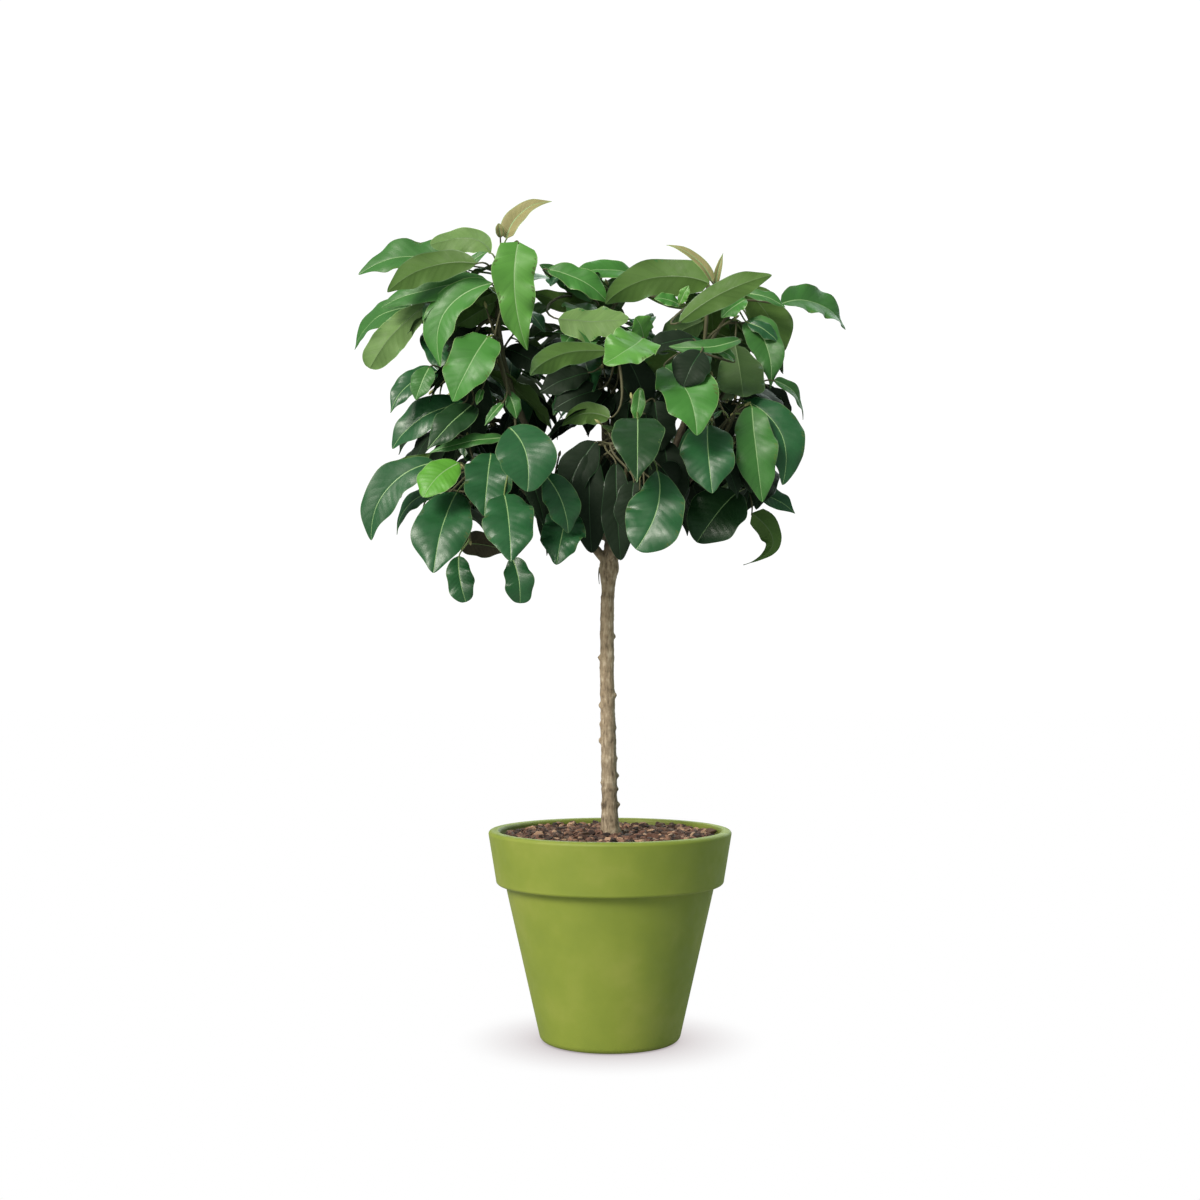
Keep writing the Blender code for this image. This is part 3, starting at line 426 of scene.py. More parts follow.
# More leaves that only the scene has: the number of their shoot, how far ahead of it they stand in mm,
# their look, where the front sees them start and end, their form and their width in mm
# The darkest of these are painted shade: dark sheets put where only shade shows between the leaves.
EXTRA = {
    "foliage_upper_left": (
        (0, 0, "tan", (-182, 1324), (-185, 1348), "round", 15),
        (0, 10, "mid", (-238, 1274), (-203, 1301), "egg", 20),
        (0, 10, "olive", (-192, 1218), (-256, 1177), "oval", 36),
        (0, -30, "deep", (-203, 1168), (-276, 1135), "oval", 44),
        (1, 0, "mid", (-235, 1267), (-301, 1218), "oval", 34),
        (2, 10, "mid", (-170, 1068), (-155, 1023), "oval", 26),
        (2, 30, "bright", (-212, 1072), (-221, 1046), "oval", 13),
        (2, 30, "mid", (-177, 1049), (-208, 1011), "egg", 16),
        (2, 20, "mid", (-175, 991), (-299, 967), "strap", 26),
        (3, 20, "olive", (-279, 962), (-354, 953), "strap", 18),
        (0, -60, "deep", (-174, 1139), (-101, 1099), "oval", 56),
        (2, 0, "olive", (-182, 1238), (-231, 1218), "oval", 30),
    ),
    "foliage_upper_centre": (
        (0, 20, "mid", (-30, 1218), (-117, 1279), "oval", 42),
        (0, -20, "olive", (132, 1208), (43, 1243), "strap", 18),
        (1, -40, "deep", (-16, 1072), (-94, 1039), "oval", 62),
        (1, -60, "deep", (3, 1066), (-36, 1013), "oval", 50),
        (1, -50, "deep", (-33, 1099), (-116, 1066), "oval", 50),
        (1, -60, "deep", (50, 1086), (13, 1000), "oval", 60),
    ),
    "foliage_upper_right": (
        (0, -30, "tan", (175, 1244), (188, 1299), "drop", 13),
        (0, 0, "fresh", (116, 1213), (131, 1244), "oval", 18),
        (0, -10, "bright", (116, 1211), (74, 1223), "oval", 28),
        (0, -30, "dull", (154, 1185), (83, 1152), "oval", 52),
        (1, -20, "deep", (141, 1155), (60, 1135), "oval", 46),
        (2, 10, "mid", (221, 1231), (291, 1208), "oval", 26),
        (2, 25, "dark", (228, 1182), (279, 1150), "oval", 30),
        (2, 25, "bright", (226, 1221), (185, 1191), "oval", 36),
        # This dark round leaf stands in front as painted shadow, cast on the leaf behind it.
        (1, 70, "deep", (152, 1135), (122, 1076), "round", 62),
        (1, 30, "bright", (207, 1119), (159, 1144), "strap", 22),
    ),
    "foliage_lower_centre": (
        (1, -40, "deep", (89, 987), (109, 874), "oval", 66),
        (0, -40, "deep", (74, 1053), (86, 970), "oval", 60),
        (2, 40, "deep", (40, 920), (36, 825), "oval", 54),
    ),
}
# Where the crown is dark to the front: places on the trunk's plane and their radii, in mm. A leaf of the rule
# that stands further forward than SHADE_DEPTH counts as in the way there
SHADE = (
    ((3, 1049), 34), ((13, 977), 22), ((96, 987), 26), ((-46, 1056), 30), ((-182, 1099), 24), ((-83, 953), 16),
)
SHADE_DEPTH = 0.0
# The crown's outline to the front, on the trunk's plane, in mm: leaves of the rule stay in it
OUTLINE = (
    (-405, 1234), (-347, 1281), (-231, 1309), (-116, 1281), (17, 1284), (149, 1281), (256, 1234), (306, 1168),
    (298, 1086), (314, 1003), (298, 920), (264, 863), (223, 833), (132, 820), (50, 811), (-33, 858),
    (-58, 808), (-107, 792), (-140, 821), (-182, 800), (-248, 792), (-314, 783), (-344, 854), (-377, 841),
    (-393, 904), (-352, 970), (-355, 1053), (-297, 1110), (-306, 1168), (-393, 1115), (-410, 1152),
    (-367, 1210),
)


def unit(vector):
    return vector / np.linalg.norm(vector)


def units(vectors):
    return vectors / np.linalg.norm(vectors, axis=1)[:, None]


def aside(tangent):
    """A direction square to a limb's."""
    return unit(np.cross(tangent, FRONT if abs(tangent[2]) > 0.5 else UP))


def direction(azimuth, rise):
    level = math.cos(rise)
    return np.array((level * math.cos(azimuth), level * math.sin(azimuth), math.sin(rise)))


def smooth(value):
    value = np.clip(value, 0.0, 1.0)
    return value * value * (3.0 - 2.0 * value)


def noise(points, scale, seed):
    """Smooth random values between -1 and 1 over space; scale is the size of a blotch."""
    places = np.asarray(points) / scale
    cells = np.floor(places).astype(np.int64)
    parts = places - cells
    parts = parts * parts * (3.0 - 2.0 * parts)
    total = np.zeros(len(places))
    for corner in itertools.product((0, 1), repeat=3):
        index = cells + np.array(corner)
        mixed = index[:, 0] * 73856093 ^ index[:, 1] * 19349663 ^ index[:, 2] * 83492791 ^ (seed * 40503 + 7)
        mixed = (mixed ^ (mixed >> 13)) * 1274126177 & 0xFFFFFFFF
        value = ((mixed ^ (mixed >> 15)) & 0xFFFF) / 32767.5 - 1.0
        total += value * np.prod(np.where(corner, parts, 1.0 - parts), axis=1)
    return total


# ---- coarse shapes that the rule tests against ----


def bridge(lower, upper):
    (a, count), (b, _) = lower, upper
    return [(a + i, a + (i + 1) % count, b + (i + 1) % count, b + i) for i in range(count)]


def loft(rings, point_tip=None):
    count = len(rings[0])
    points = [point for ring in rings for point in ring]
    faces = [tuple(reversed(range(count)))]
    for k in range(len(rings) - 1):
        faces += bridge((k * count, count), ((k + 1) * count, count))
    last = (len(rings) - 1) * count
    if point_tip is None:
        faces.append(tuple(range(last, last + count)))
    else:
        faces += [(last + i, last + (i + 1) % count, len(points)) for i in range(count)]
        points = points + [point_tip]
    return points, faces


def bend(start, first_direction, end, keep, count):
    """Points and tangents along a limb that leaves in one direction and turns smoothly to its end."""
    middle = start + first_direction * keep * np.linalg.norm(end - start)
    shares = np.linspace(0.0, 1.0, count)[:, None]
    points = (1 - shares) ** 2 * start + 2 * shares * (1 - shares) * middle + shares**2 * end
    tangents = (1 - shares) * (middle - start) + shares * (end - middle)
    return points, units(tangents)


def tube(points, tangents, radii, sides):
    across = aside(tangents[0])
    rings = []
    for point, tangent, radius in zip(points, tangents, radii):
        across = unit(across - tangent * across.dot(tangent))
        other = np.cross(tangent, across)
        angles = [2 * math.pi * i / sides for i in range(sides)]
        rings.append([point + radius * (math.cos(a) * across + math.sin(a) * other) for a in angles])
    return loft(rings)


def trunk_centre(height):
    """The trunk leans a little to the left and comes back under the crown."""
    share = (height - TRUNK_FOOT) / (TRUNK_TOP - TRUNK_FOOT)
    left = SWAY * math.sin(math.pi * max(share, 0.0) ** SWAY_POWER)
    back = SWAY * SWAY_ASIDE * math.sin(2 * math.pi * share)
    return np.array((-left, back, height))


def trunk_radius(height):
    share = (height - TRUNK_FOOT) / (TRUNK_TOP - TRUNK_FOOT)
    radius = TRUNK_RADIUS_LOW + (TRUNK_RADIUS_HIGH - TRUNK_RADIUS_LOW) * share
    radius += FLARE * math.exp(-(height - TRUNK_FOOT) / FLARE_HEIGHT)
    radius += HEAD_SWELL * math.exp(-(((height - HEAD_HEIGHT) / HEAD_SPREAD) ** 2))
    crown = max(0.0, height - (TRUNK_TOP - HEAD_ROUNDING)) / HEAD_ROUNDING
    return radius * math.sqrt(1.0 - HEAD_CLOSING * crown**2)


def knot(height, around):
    total = 0.0
    for knot_height, knot_angle in KNOTS:
        turned = math.remainder(around - knot_angle, 2 * math.pi)
        off = ((height - knot_height) / KNOT_SPREAD) ** 2 + (turned / KNOT_WIDTH) ** 2
        total += KNOT_SIZE * math.exp(-off)
    return total


def trunk_heights():
    heights = list(np.linspace(TRUNK_FOOT, TRUNK_TOP - HEAD_ROUNDING, TRUNK_RINGS))
    for knot_height, _ in KNOTS:
        nearest = min(range(len(heights)), key=lambda k: abs(heights[k] - knot_height))
        heights[nearest] = knot_height
    return heights + [TRUNK_TOP - HEAD_ROUNDING * share for share in HEAD_RINGS]


def trunk_mesh():
    rings = []
    for height in trunk_heights():
        angles = [2 * math.pi * side / TRUNK_SIDES for side in range(TRUNK_SIDES)]
        reach = [trunk_radius(height) + knot(height, around) for around in angles]
        rings.append([trunk_centre(height) + r * direction(a, 0.0) for r, a in zip(reach, angles)])
    return loft(rings)


def bough_path(bough, paths, count=BOUGH_RINGS):
    """The bough starts on its parent's centre line, at a share of the parent's length."""
    if bough.parent == "trunk":
        start = trunk_centre(TRUNK_FOOT + (TRUNK_TOP - TRUNK_FOOT) * bough.share)
    else:
        parent_points = paths[bough.parent][0]
        place = bough.share * (len(parent_points) - 1)
        start = np.array([np.interp(place, range(len(parent_points)), axis) for axis in parent_points.T])
    first = direction(math.radians(bough.azimuth), math.radians(bough.rise))
    return bend(start, first, np.array(bough.end), BOUGH_REACH, count)


def bough_mesh(bough, path):
    return tube(*path, np.linspace(bough.radius, bough.tip_radius, BOUGH_RINGS), BOUGH_SIDES)


def leaf_mesh(root, base, tip, width, facing, arch, guard=0.0):
    """A leaf in few faces, with room round it."""
    along = unit(tip - base)
    above = unit(facing - along * facing.dot(along))
    across = np.cross(above, along)
    half_arch = math.radians(arch) / 2
    length = np.linalg.norm(tip - base) * half_arch / math.sin(half_arch)
    half_thick = LEAF_THICKNESS * length / 2 + guard
    stalk = PETIOLE_RADIUS + guard
    stalk_along = unit(base - root)
    stalk_across = unit(across - stalk_along * across.dot(stalk_along))
    stalk_above = np.cross(stalk_along, stalk_across)
    rings = [[root + stalk * d for d in (stalk_across, stalk_above, -stalk_across, -stalk_above)]]
    rings.append([base + stalk * d for d in (across, above, -across, -above)])
    for share in LEAF_STATIONS:
        slope = half_arch * (1 - 2 * share)
        run = (math.sin(half_arch) - math.sin(slope)) / (2 * half_arch)
        lift = (math.cos(slope) - math.cos(half_arch)) / (2 * half_arch)
        rib = base + length * (run * along + lift * above)
        normal = math.cos(slope) * above - math.sin(slope) * along
        half_width = width / 2 * outline(share) + guard
        edge = half_width * math.sin(FOLD) * normal
        spread = half_width * math.cos(FOLD) * across
        thick = half_thick * normal
        rings.append([rib + edge + spread, rib + thick, rib + edge - spread, rib - thick])
    return loft(rings, tip + along * guard)


def outline(share, near_base=WIDTH_NEAR_BASE, near_tip=WIDTH_NEAR_TIP):
    """The blade's half width along its length, as a share of the widest."""
    widest = near_base / (near_base + near_tip)
    most = widest**near_base * (1 - widest) ** near_tip
    return share**near_base * (1 - share) ** near_tip / most


def stalk_end(root, tip, shoot_along):
    towards = tip - root
    outward = unit(towards - shoot_along * towards.dot(shoot_along))
    return root + PETIOLE_LENGTH * unit(outward + STALK_RISE * shoot_along)


def named_tip(leaf, root):
    tip = np.array((leaf.x / 1000, root[1], leaf.z / 1000))
    reach = leaf.length / 1000 + PETIOLE_LENGTH
    left_over = reach**2 - (tip[0] - root[0]) ** 2 - (tip[2] - root[2]) ** 2
    tip[1] -= leaf.lean * math.sqrt(max(left_over, 0.0))
    return tip


def ruled_tip(root, around, length, rng):
    share = min(1.0, max(0.0, (root[2] - LOW_CROWN) / (HIGH_CROWN - LOW_CROWN)))
    pitch = PITCH_LOW + (PITCH_HIGH - PITCH_LOW) * share + rng.uniform(-PITCH_SPREAD, PITCH_SPREAD)
    return root + (length + PETIOLE_LENGTH) * direction(around, pitch)


Skin = namedtuple("Skin", "centre reach tree")


def skin_of(mesh):
    points, faces = mesh
    centre = np.mean(points, axis=0)
    reach = np.linalg.norm(np.array(points) - centre, axis=1).max()
    return Skin(centre, reach, BVHTree.FromPolygons([tuple(map(float, point)) for point in points], faces))


def touches(one, other):
    near = np.linalg.norm(one.centre - other.centre) < one.reach + other.reach
    return near and bool(one.tree.overlap(other.tree))


class Foliage:
    """What has grown so far, so that a new leaf touches nothing and stays in its own mass's space."""

    def __init__(self, limb_meshes):
        self.limbs = [skin_of(mesh) for mesh in limb_meshes]
        self.whole = {mass.name: [] for mass in MASSES}
        self.blades = {mass.name: [] for mass in MASSES}
        self.centres = {mass.name: np.mean([shoot.tip for shoot in mass.shoots], axis=0) for mass in MASSES}

    def is_clear(self, mass_name, whole, blade):
        others = [skin for name, skins in self.whole.items() if name != mass_name for skin in skins]
        if any(touches(whole, skin) for skin in self.limbs + others):
            return False
        return not any(touches(blade, skin) for skin in self.blades[mass_name])

    def all_blades(self):
        return [skin for skins in self.blades.values() for skin in skins]

    def has_room(self, blade):
        """Whether a blade touches no limb and no other blade."""
        return not any(touches(blade, skin) for skin in self.all_blades() + self.limbs)

    def in_space(self, mass_name, middle, tip):
        inside = np.sum(((tip - CROWN_CENTRE) / CROWN_RADII) ** 2) < 1.0
        nearest = min(self.centres, key=lambda name: np.linalg.norm(middle - self.centres[name]))
        return inside and nearest == mass_name


def blade_skin(shape):
    """A blade with room round it; shape is what leaf_mesh takes."""
    return skin_of(blade_only(leaf_mesh(*shape, GUARD)))


def blade_only(mesh):
    points, _ = mesh
    rings = [points[4 * ring : 4 * ring + 4] for ring in range(2, 2 + len(LEAF_STATIONS))]
    return loft(rings, points[-1])


Grown = namedtuple("Grown", "root base tip width facing arch shoot_along look bow form", defaults=(0.0, "egg"))


def grow_leaf(foliage, mass_name, root, shoot_along, tip, width, facing, arch=ARCH, look="mid"):
    """The leaf if nothing is in its way, or None."""
    shape = (root, stalk_end(root, tip, shoot_along), tip, width, facing, arch)
    guarded = leaf_mesh(*shape, GUARD)
    whole = skin_of(guarded)
    blade = skin_of(blade_only(guarded))
    if not foliage.is_clear(mass_name, whole, blade):
        return None
    foliage.whole[mass_name].append(whole)
    foliage.blades[mass_name].append(blade)
    return Grown(*shape, shoot_along, look)


def mass_stem(mass, paths):
    end_points, end_tangents = paths[mass.bough]
    start = end_points[-1] + end_tangents[-1] * CLEARANCE
    return bend(start, end_tangents[-1], np.array(mass.shoots[0].tip), STEM_REACH, STEM_RINGS)


def twig_paths(mass, paths):
    stem_points, stem_tangents = mass_stem(mass, paths)
    found = [(stem_points, stem_tangents, np.linspace(STEM_RADIUS, TIP_RADIUS, STEM_RINGS))]
    for index, shoot in enumerate(mass.shoots[1:], 1):
        ring = min(index, STEM_RINGS - 2)
        start = stem_points[ring]
        tip = np.array(shoot.tip)
        first = unit(stem_tangents[ring] + TWIG_TURN * unit(tip - start))
        points, tangents = bend(start, first, tip, TWIG_REACH, TWIG_RINGS)
        found.append((points, tangents, np.linspace(TWIG_RADIUS, TIP_RADIUS, TWIG_RINGS)))
    return found


def leaf_roots(points, count):
    steps = np.linalg.norm(np.diff(points, axis=0), axis=1)
    below_tip = np.concatenate([np.cumsum(steps[::-1])[::-1], [0.0]])
    roots = []
    for place in range(count):
        down = FIRST_NODE + place * NODE_SPACING
        roots.append(np.array([np.interp(down, below_tip[::-1], axis[::-1]) for axis in points.T]))
    return roots, unit(points[-1] - points[-2])


def grow_named(foliage, mass, twigs):
    grown = []
    for shoot, (points, _, _) in zip(mass.shoots, twigs):
        roots, along = leaf_roots(points, len(shoot.leaves))
        for leaf, root in zip(shoot.leaves, roots):
            facing = FRONT + NAMED_TILT * UP
            size = (leaf.width / 1000, facing, leaf.arch, leaf.look)
            for shift in DEPTH_SHIFTS:
                found = grow_leaf(foliage, mass.name, root, along, named_tip(leaf, root) + shift * FRONT, *size)
                if found:
                    grown.append((leaf, found))
                    break
    return grown


def nearer(point, shift):
    """The point moved towards the eye, so that from the front it stays in its place."""
    return point + shift * unit(EYE - point)


def seen_at(place, depth):
    """The point at a depth that the front sees at a place on the trunk's plane."""
    point = np.array((place[0] / 1000, 0.0, place[1] / 1000))
    return EYE + (point - EYE) * (depth - EYE[1]) / -EYE[1]


BOW_LENGTHENS = 2.67  # a rib, against its chord, for each square of its bow
MOST_LEAN = 1.7  # the square of a leaf's length, against that of its seen length


def refined(leaf, grown, foliage, mass_name):
    """The same leaf, moved to where its blade is seen, if nothing is in its way there."""
    grown = grown._replace(bow=leaf.bow, form=leaf.form)
    if leaf.at is None:
        return grown
    base, tip = (seen_at(place, grown.base[1]) for place in (leaf.at, leaf.to))
    reach = leaf.length / 1000 / (1 + BOW_LENGTHENS * leaf.bow**2)
    seen = np.sum((tip - base) ** 2)
    left_over = min(reach**2, MOST_LEAN * seen) - seen
    if left_over > 0:
        tip = nearer(tip, leaf.lean * math.sqrt(left_over))
    grown = grown._replace(width=(leaf.wide or leaf.width) / 1000, arch=leaf.curl or leaf.arch)
    for shift in SEEN_SHIFTS:
        start, end = (nearer(point, shift + leaf.ahead / 1000) for point in (base, tip))
        shape = (grown.root, start, end, grown.width, grown.facing, grown.arch)
        blade = blade_skin(shape)
        if foliage.has_room(blade):
            break
    else:
        start, end = (nearer(point, leaf.ahead / 1000) for point in (base, tip))
    foliage.blades[mass_name].append(blade)
    return grown._replace(base=start, tip=end)


def refine(foliage, mass, named):
    """Each named leaf gives up its first place and takes its seen one."""
    found = []
    skins = foliage.blades[mass.name]
    for index, (leaf, grown) in enumerate(named):
        if leaf.at:
            skins[index] = skins[index]._replace(reach=-1.0)
        found.append(refined(leaf, grown, foliage, mass.name))
    return found


def height_look(height, rng):
    """Leaves high in the crown are young and bright, and low ones old and dark, the lowest darkened further
    with painted shade.
    """
    share = (height - LOW_CROWN) / (HIGH_CROWN - LOW_CROWN) + rng.uniform(-LOOK_SPREAD, LOOK_SPREAD)
    return next((look for limit, look in LOOK_HEIGHTS if share < limit), "bright")


def turning(around):
    """Angles round a twig, each a golden angle on from the last."""
    while True:
        around += GOLDEN_ANGLE
        yield around


def tried_leaf(root, around, lengths, rng):
    """The tip, the width and the facing side of a leaf that leaves its twig at an angle."""
    length = rng.uniform(*lengths)
    width = length * rng.uniform(*LEAF_WIDTHS)
    tip = ruled_tip(root, around, length, rng)
    facing = UP + rng.uniform(-TILT_SPREAD, TILT_SPREAD) * direction(around + math.pi / 2, 0.0)
    return tip, width, facing


def grow_ruled(foliage, mass, twigs):
    grown = []
    for index, (shoot, (points, _, _)) in enumerate(zip(mass.shoots, twigs)):
        rng = random.Random(f"{SEED} {mass.name} {index}")
        tints = random.Random(f"{SEED} tint {mass.name} {index}")
        angles = turning(rng.uniform(0.0, 2 * math.pi))
        roots, along = leaf_roots(points, len(shoot.leaves) + shoot.fill)
        for root in roots[len(shoot.leaves) :]:
            for around in itertools.islice(angles, TRIES):
                tip, width, facing = tried_leaf(root, around, LEAF_LENGTHS, rng)
                if not foliage.in_space(mass.name, (root + tip) / 2, tip):
                    continue
                found = grow_leaf(foliage, mass.name, root, along, tip, width, facing)
                if found:
                    form = tints.choice(COMMON_FORMS)
                    grown.append(found._replace(look=height_look(tip[2], tints), form=form))
                    break
    return grown


def seen_from_front(points):
    """Where points appear on the trunk's plane to the eye in front."""
    points = np.asarray(points)
    return EYE[[0, 2]] - (points[:, [0, 2]] - EYE[[0, 2]]) * (EYE[1] / (points[:, 1:2] - EYE[1]))


def hides_sky(points):
    """Whether a point lies in a line of sight that stays open, or outside the crown's outline."""
    x, z = 1000 * seen_from_front(points).T
    if any((np.hypot(x - place_x, z - place_z) < r).any() for place_x, place_z, r in SKY):
        return True
    inside = np.zeros(len(x), bool)
    for (ax, az), (bx, bz) in zip(OUTLINE, OUTLINE[1:] + OUTLINE[:1]):
        if az != bz:
            inside ^= ((az > z) != (bz > z)) & (x < ax + (bx - ax) * (z - az) / (bz - az))
    return not inside.all()


def front_map(leaves):
    """How far forward the named leaves reach in each small cell of the front view."""
    nearest = {}
    for (x, z), radius in SHADE:
        reach = np.arange(-radius, radius + 1, 1000 * CELL)
        for across, up in itertools.product(reach, reach):
            if math.hypot(across, up) < radius:
                cell = np.floor(np.array((x + across, z + up)) / 1000 / CELL).astype(int)
                nearest[tuple(cell)] = SHADE_DEPTH
    for leaf in leaves:
        s, points, _, sideways = rib_curve(leaf, random.Random(SEED))
        half = leaf.width / 2 * fine_outline(s, leaf.form)[:, None] * sideways
        for share in MAP_SHARES:
            blade = points + share * half
            for cell, y in zip(np.floor(seen_from_front(blade) / CELL).astype(int), blade[:, 1]):
                nearest[tuple(cell)] = min(y, nearest.get(tuple(cell), FAR))
    return nearest


def hides_named(points, nearest):
    """Whether a good part of a leaf would stand in front of the named leaves."""
    cells = np.floor(seen_from_front(points) / CELL).astype(int)
    hidden = sum(y < nearest.get(tuple(cell), -FAR) for cell, y in zip(cells, points[:, 1]))
    return hidden > HIDDEN_SHARE * len(points)


def filled(mesh):
    """A leaf's points, with more between them, for the sight test."""
    points = np.array(mesh[0])
    rings = points[8 : 8 + 4 * len(LEAF_STATIONS)].reshape(-1, 4, 3)
    ribs = np.concatenate([rings[:, (1,)], (rings[:, (0,)] + rings[:, (1,)]) / 2, rings], axis=1)
    between = (ribs[1:] + ribs[:-1]) / 2
    return np.concatenate([points, ribs.reshape(-1, 3), between.reshape(-1, 3)])


def turned_away(foliage, mass, leaf, nearest, rng):
    """The leaf if it hides no open sky and no named leaf, or the leaf turned until it doesn't, or None."""
    length = np.linalg.norm(leaf.tip - leaf.root) - PETIOLE_LENGTH
    around = math.atan2(leaf.tip[1] - leaf.root[1], leaf.tip[0] - leaf.root[0])
    for tries in range(2 * TRIES):
        shape = leaf[:6]
        points = filled(leaf_mesh(*shape))
        blade = blade_skin(shape)
        is_free = not tries or foliage.has_room(blade)
        is_inside = not tries or foliage.in_space(mass.name, (leaf.root + leaf.tip) / 2, leaf.tip)
        if is_free and is_inside and not hides_sky(points) and not hides_named(points, nearest):
            foliage.blades[mass.name].append(blade)
            return leaf
        around += GOLDEN_ANGLE
        tip = ruled_tip(leaf.root, around, length, rng)
        leaf = leaf._replace(base=stalk_end(leaf.root, tip, leaf.shoot_along), tip=tip)
    return None


def grow_fine(foliage, mass, twigs, nearest):
    """Finer twigs on the twigs, each with a few smaller leaves, where there is room and no open sky."""
    twiglets = []
    grown = []
    for index, (points, tangents, radii, shares) in enumerate(twigs):
        rng = random.Random(f"{SEED} fine {mass.name} {index}")
        angles = turning(rng.uniform(0.0, 2 * math.pi))
        for share in shares:
            place = share * (len(points) - 1)
            start, tangent, radius = (along_path(values, place) for values in (points, tangents, radii))
            for around in itertools.islice(angles, TRIES):
                side = unit(np.cross(unit(tangent), direction(around, TWIGLET_RISE)))
                first = unit(unit(tangent) + TWIGLET_TURN * side)
                towards = unit(first + TWIGLET_ASIDE * side + TWIGLET_LIFT * UP)
                end = start + (radius + rng.uniform(*TWIGLET_LENGTHS)) * towards
                path = bend(start + TWIGLET_SINK * radius * side, first, end, TWIGLET_REACH, len(TWIGLET_RADII))
                skin = skin_of(tube(*path, TWIGLET_RADII, TWIG_SIDES))
                if hides_sky(path[0]) or any(touches(skin, blade) for blade in foliage.all_blades()):
                    continue
                leaves = fine_leaves(foliage, mass, path, nearest, rng)
                if leaves:
                    foliage.blades[mass.name].append(skin)
                    twiglets.append((*path, TWIGLET_RADII))
                    grown += leaves
                    break
    return twiglets, grown


def along_path(values, place):
    """The value at a place between two of a path's."""
    values = np.asarray(values)
    below = min(int(place), len(values) - 2)
    return values[below] + (place - below) * (values[below + 1] - values[below])


def fine_leaves(foliage, mass, path, nearest, rng):
    """The leaves of a finer twig, where each has room and hides nothing."""
    grown = []
    angles = turning(rng.uniform(0.0, 2 * math.pi))
    roots, along = leaf_roots(path[0], TWIGLET_LEAVES)
    for root in roots:
        for around in itertools.islice(angles, TRIES):
            tip, width, facing = tried_leaf(root, around, SMALL_LENGTHS, rng)
            if not foliage.in_space(mass.name, (root + tip) / 2, tip):
                continue
            shape = (root, stalk_end(root, tip, along), tip, width, facing, ARCH)
            points = filled(leaf_mesh(*shape))
            if hides_sky(points) or hides_named(points, nearest):
                continue
            blade = blade_skin(shape)
            if not foliage.has_room(blade):
                continue
            foliage.blades[mass.name].append(blade)
            look = height_look(tip[2] - SMALL_LOOK_DROP, rng)
            grown.append(Grown(*shape, along, look, form=rng.choice(COMMON_FORMS)))
            break
    return grown


def grow_extra(twigs):
    """The leaves that are told one by one and that the solids don't have."""
    grown = {mass.name: [] for mass in MASSES}
    for name, found in EXTRA.items():
        for index, ahead, look, at, to, form, width in found:
            roots, along = leaf_roots(twigs[name][index][0], EXTRA_NODE + 1)
            root = roots[EXTRA_NODE]
            depth = root[1] - ahead / 1000
            base, tip = seen_at(at, depth), seen_at(to, depth - EXTRA_LEAN)
            shape = (root, base, tip, width / 1000, FRONT + NAMED_TILT * UP, ARCH)
            grown[name].append(Grown(*shape, along, look, form=form))
    return grown


# ---- meshes from arrays ----


def circle(sides):
    return np.arange(sides) * 2 * math.pi / sides


def ring_quads(rings, sides):
    """The quads that join each ring of points to the next."""
    rows, columns = np.meshgrid(np.arange(rings - 1), np.arange(sides), indexing="ij")
    a = rows * sides + columns
    b = rows * sides + (columns + 1) % sides
    return np.stack([a, b, b + sides, a + sides], axis=-1).reshape(-1, 4)


def read(items, name, width, kind=np.float32):
    """A value of each vertex, edge or face of a mesh, in rows."""
    found = np.empty(len(items) * width, kind)
    items.foreach_get(name, found)
    return found.reshape(-1, width)


def placed(name, data):
    obj = bpy.data.objects.new(name, data)
    bpy.context.scene.collection.objects.link(obj)
    return obj


def shaped(obj):
    """The object's mesh as its modifiers leave it, smooth."""
    bpy.context.view_layer.update()
    mesh = bpy.data.meshes.new_from_object(obj.evaluated_get(bpy.context.evaluated_depsgraph_get()))
    mesh.polygons.foreach_set("use_smooth", np.ones(len(mesh.polygons), bool))
    return mesh


class Batch:
    """Quads gathered for one joined piece."""

    def __init__(self):
        self.points = []
        self.quads = []
        self.slots = []
        self.sharp = []
        self.count = 0

    def add(self, points, quads, slots, sharp=None):
        self.points.append(points)
        self.quads.append(quads + self.count)
        self.slots.append(np.broadcast_to(slots, len(quads)))
        self.sharp.append(np.zeros(len(points), bool) if sharp is None else sharp)
        self.count += len(points)

    def build(self, name, materials, is_smooth=True):
        points = np.concatenate(self.points)
        quads = np.concatenate(self.quads)
        mesh = bpy.data.meshes.new(name)
        mesh.vertices.add(len(points))
        mesh.vertices.foreach_set("co", points.astype(np.float32).ravel())
        mesh.loops.add(quads.size)
        mesh.loops.foreach_set("vertex_index", quads.astype(np.int32).ravel())
        mesh.polygons.add(len(quads))
        mesh.polygons.foreach_set("loop_start", np.arange(0, quads.size, 4, dtype=np.int32))
        for material in materials:
            mesh.materials.append(material)
        mesh.polygons.foreach_set("material_index", np.concatenate(self.slots).astype(np.int32))
        mesh.update(calc_edges=True)
        mesh.validate()
        mesh.polygons.foreach_set("use_smooth", np.full(len(mesh.polygons), is_smooth))
        mark_sharp(mesh, np.concatenate(self.sharp))
        return placed(name, mesh)


def mark_sharp(mesh, is_sharp):
    """An edge is sharp where both its ends are."""
    if not is_sharp.any():
        return
    ends = read(mesh.edges, "vertices", 2, np.int32)
    mesh.edges.foreach_set("use_edge_sharp", is_sharp[ends[:, 0]] & is_sharp[ends[:, 1]])


CLOSED = 1e-5  # the radius of the ring that closes a tube's end


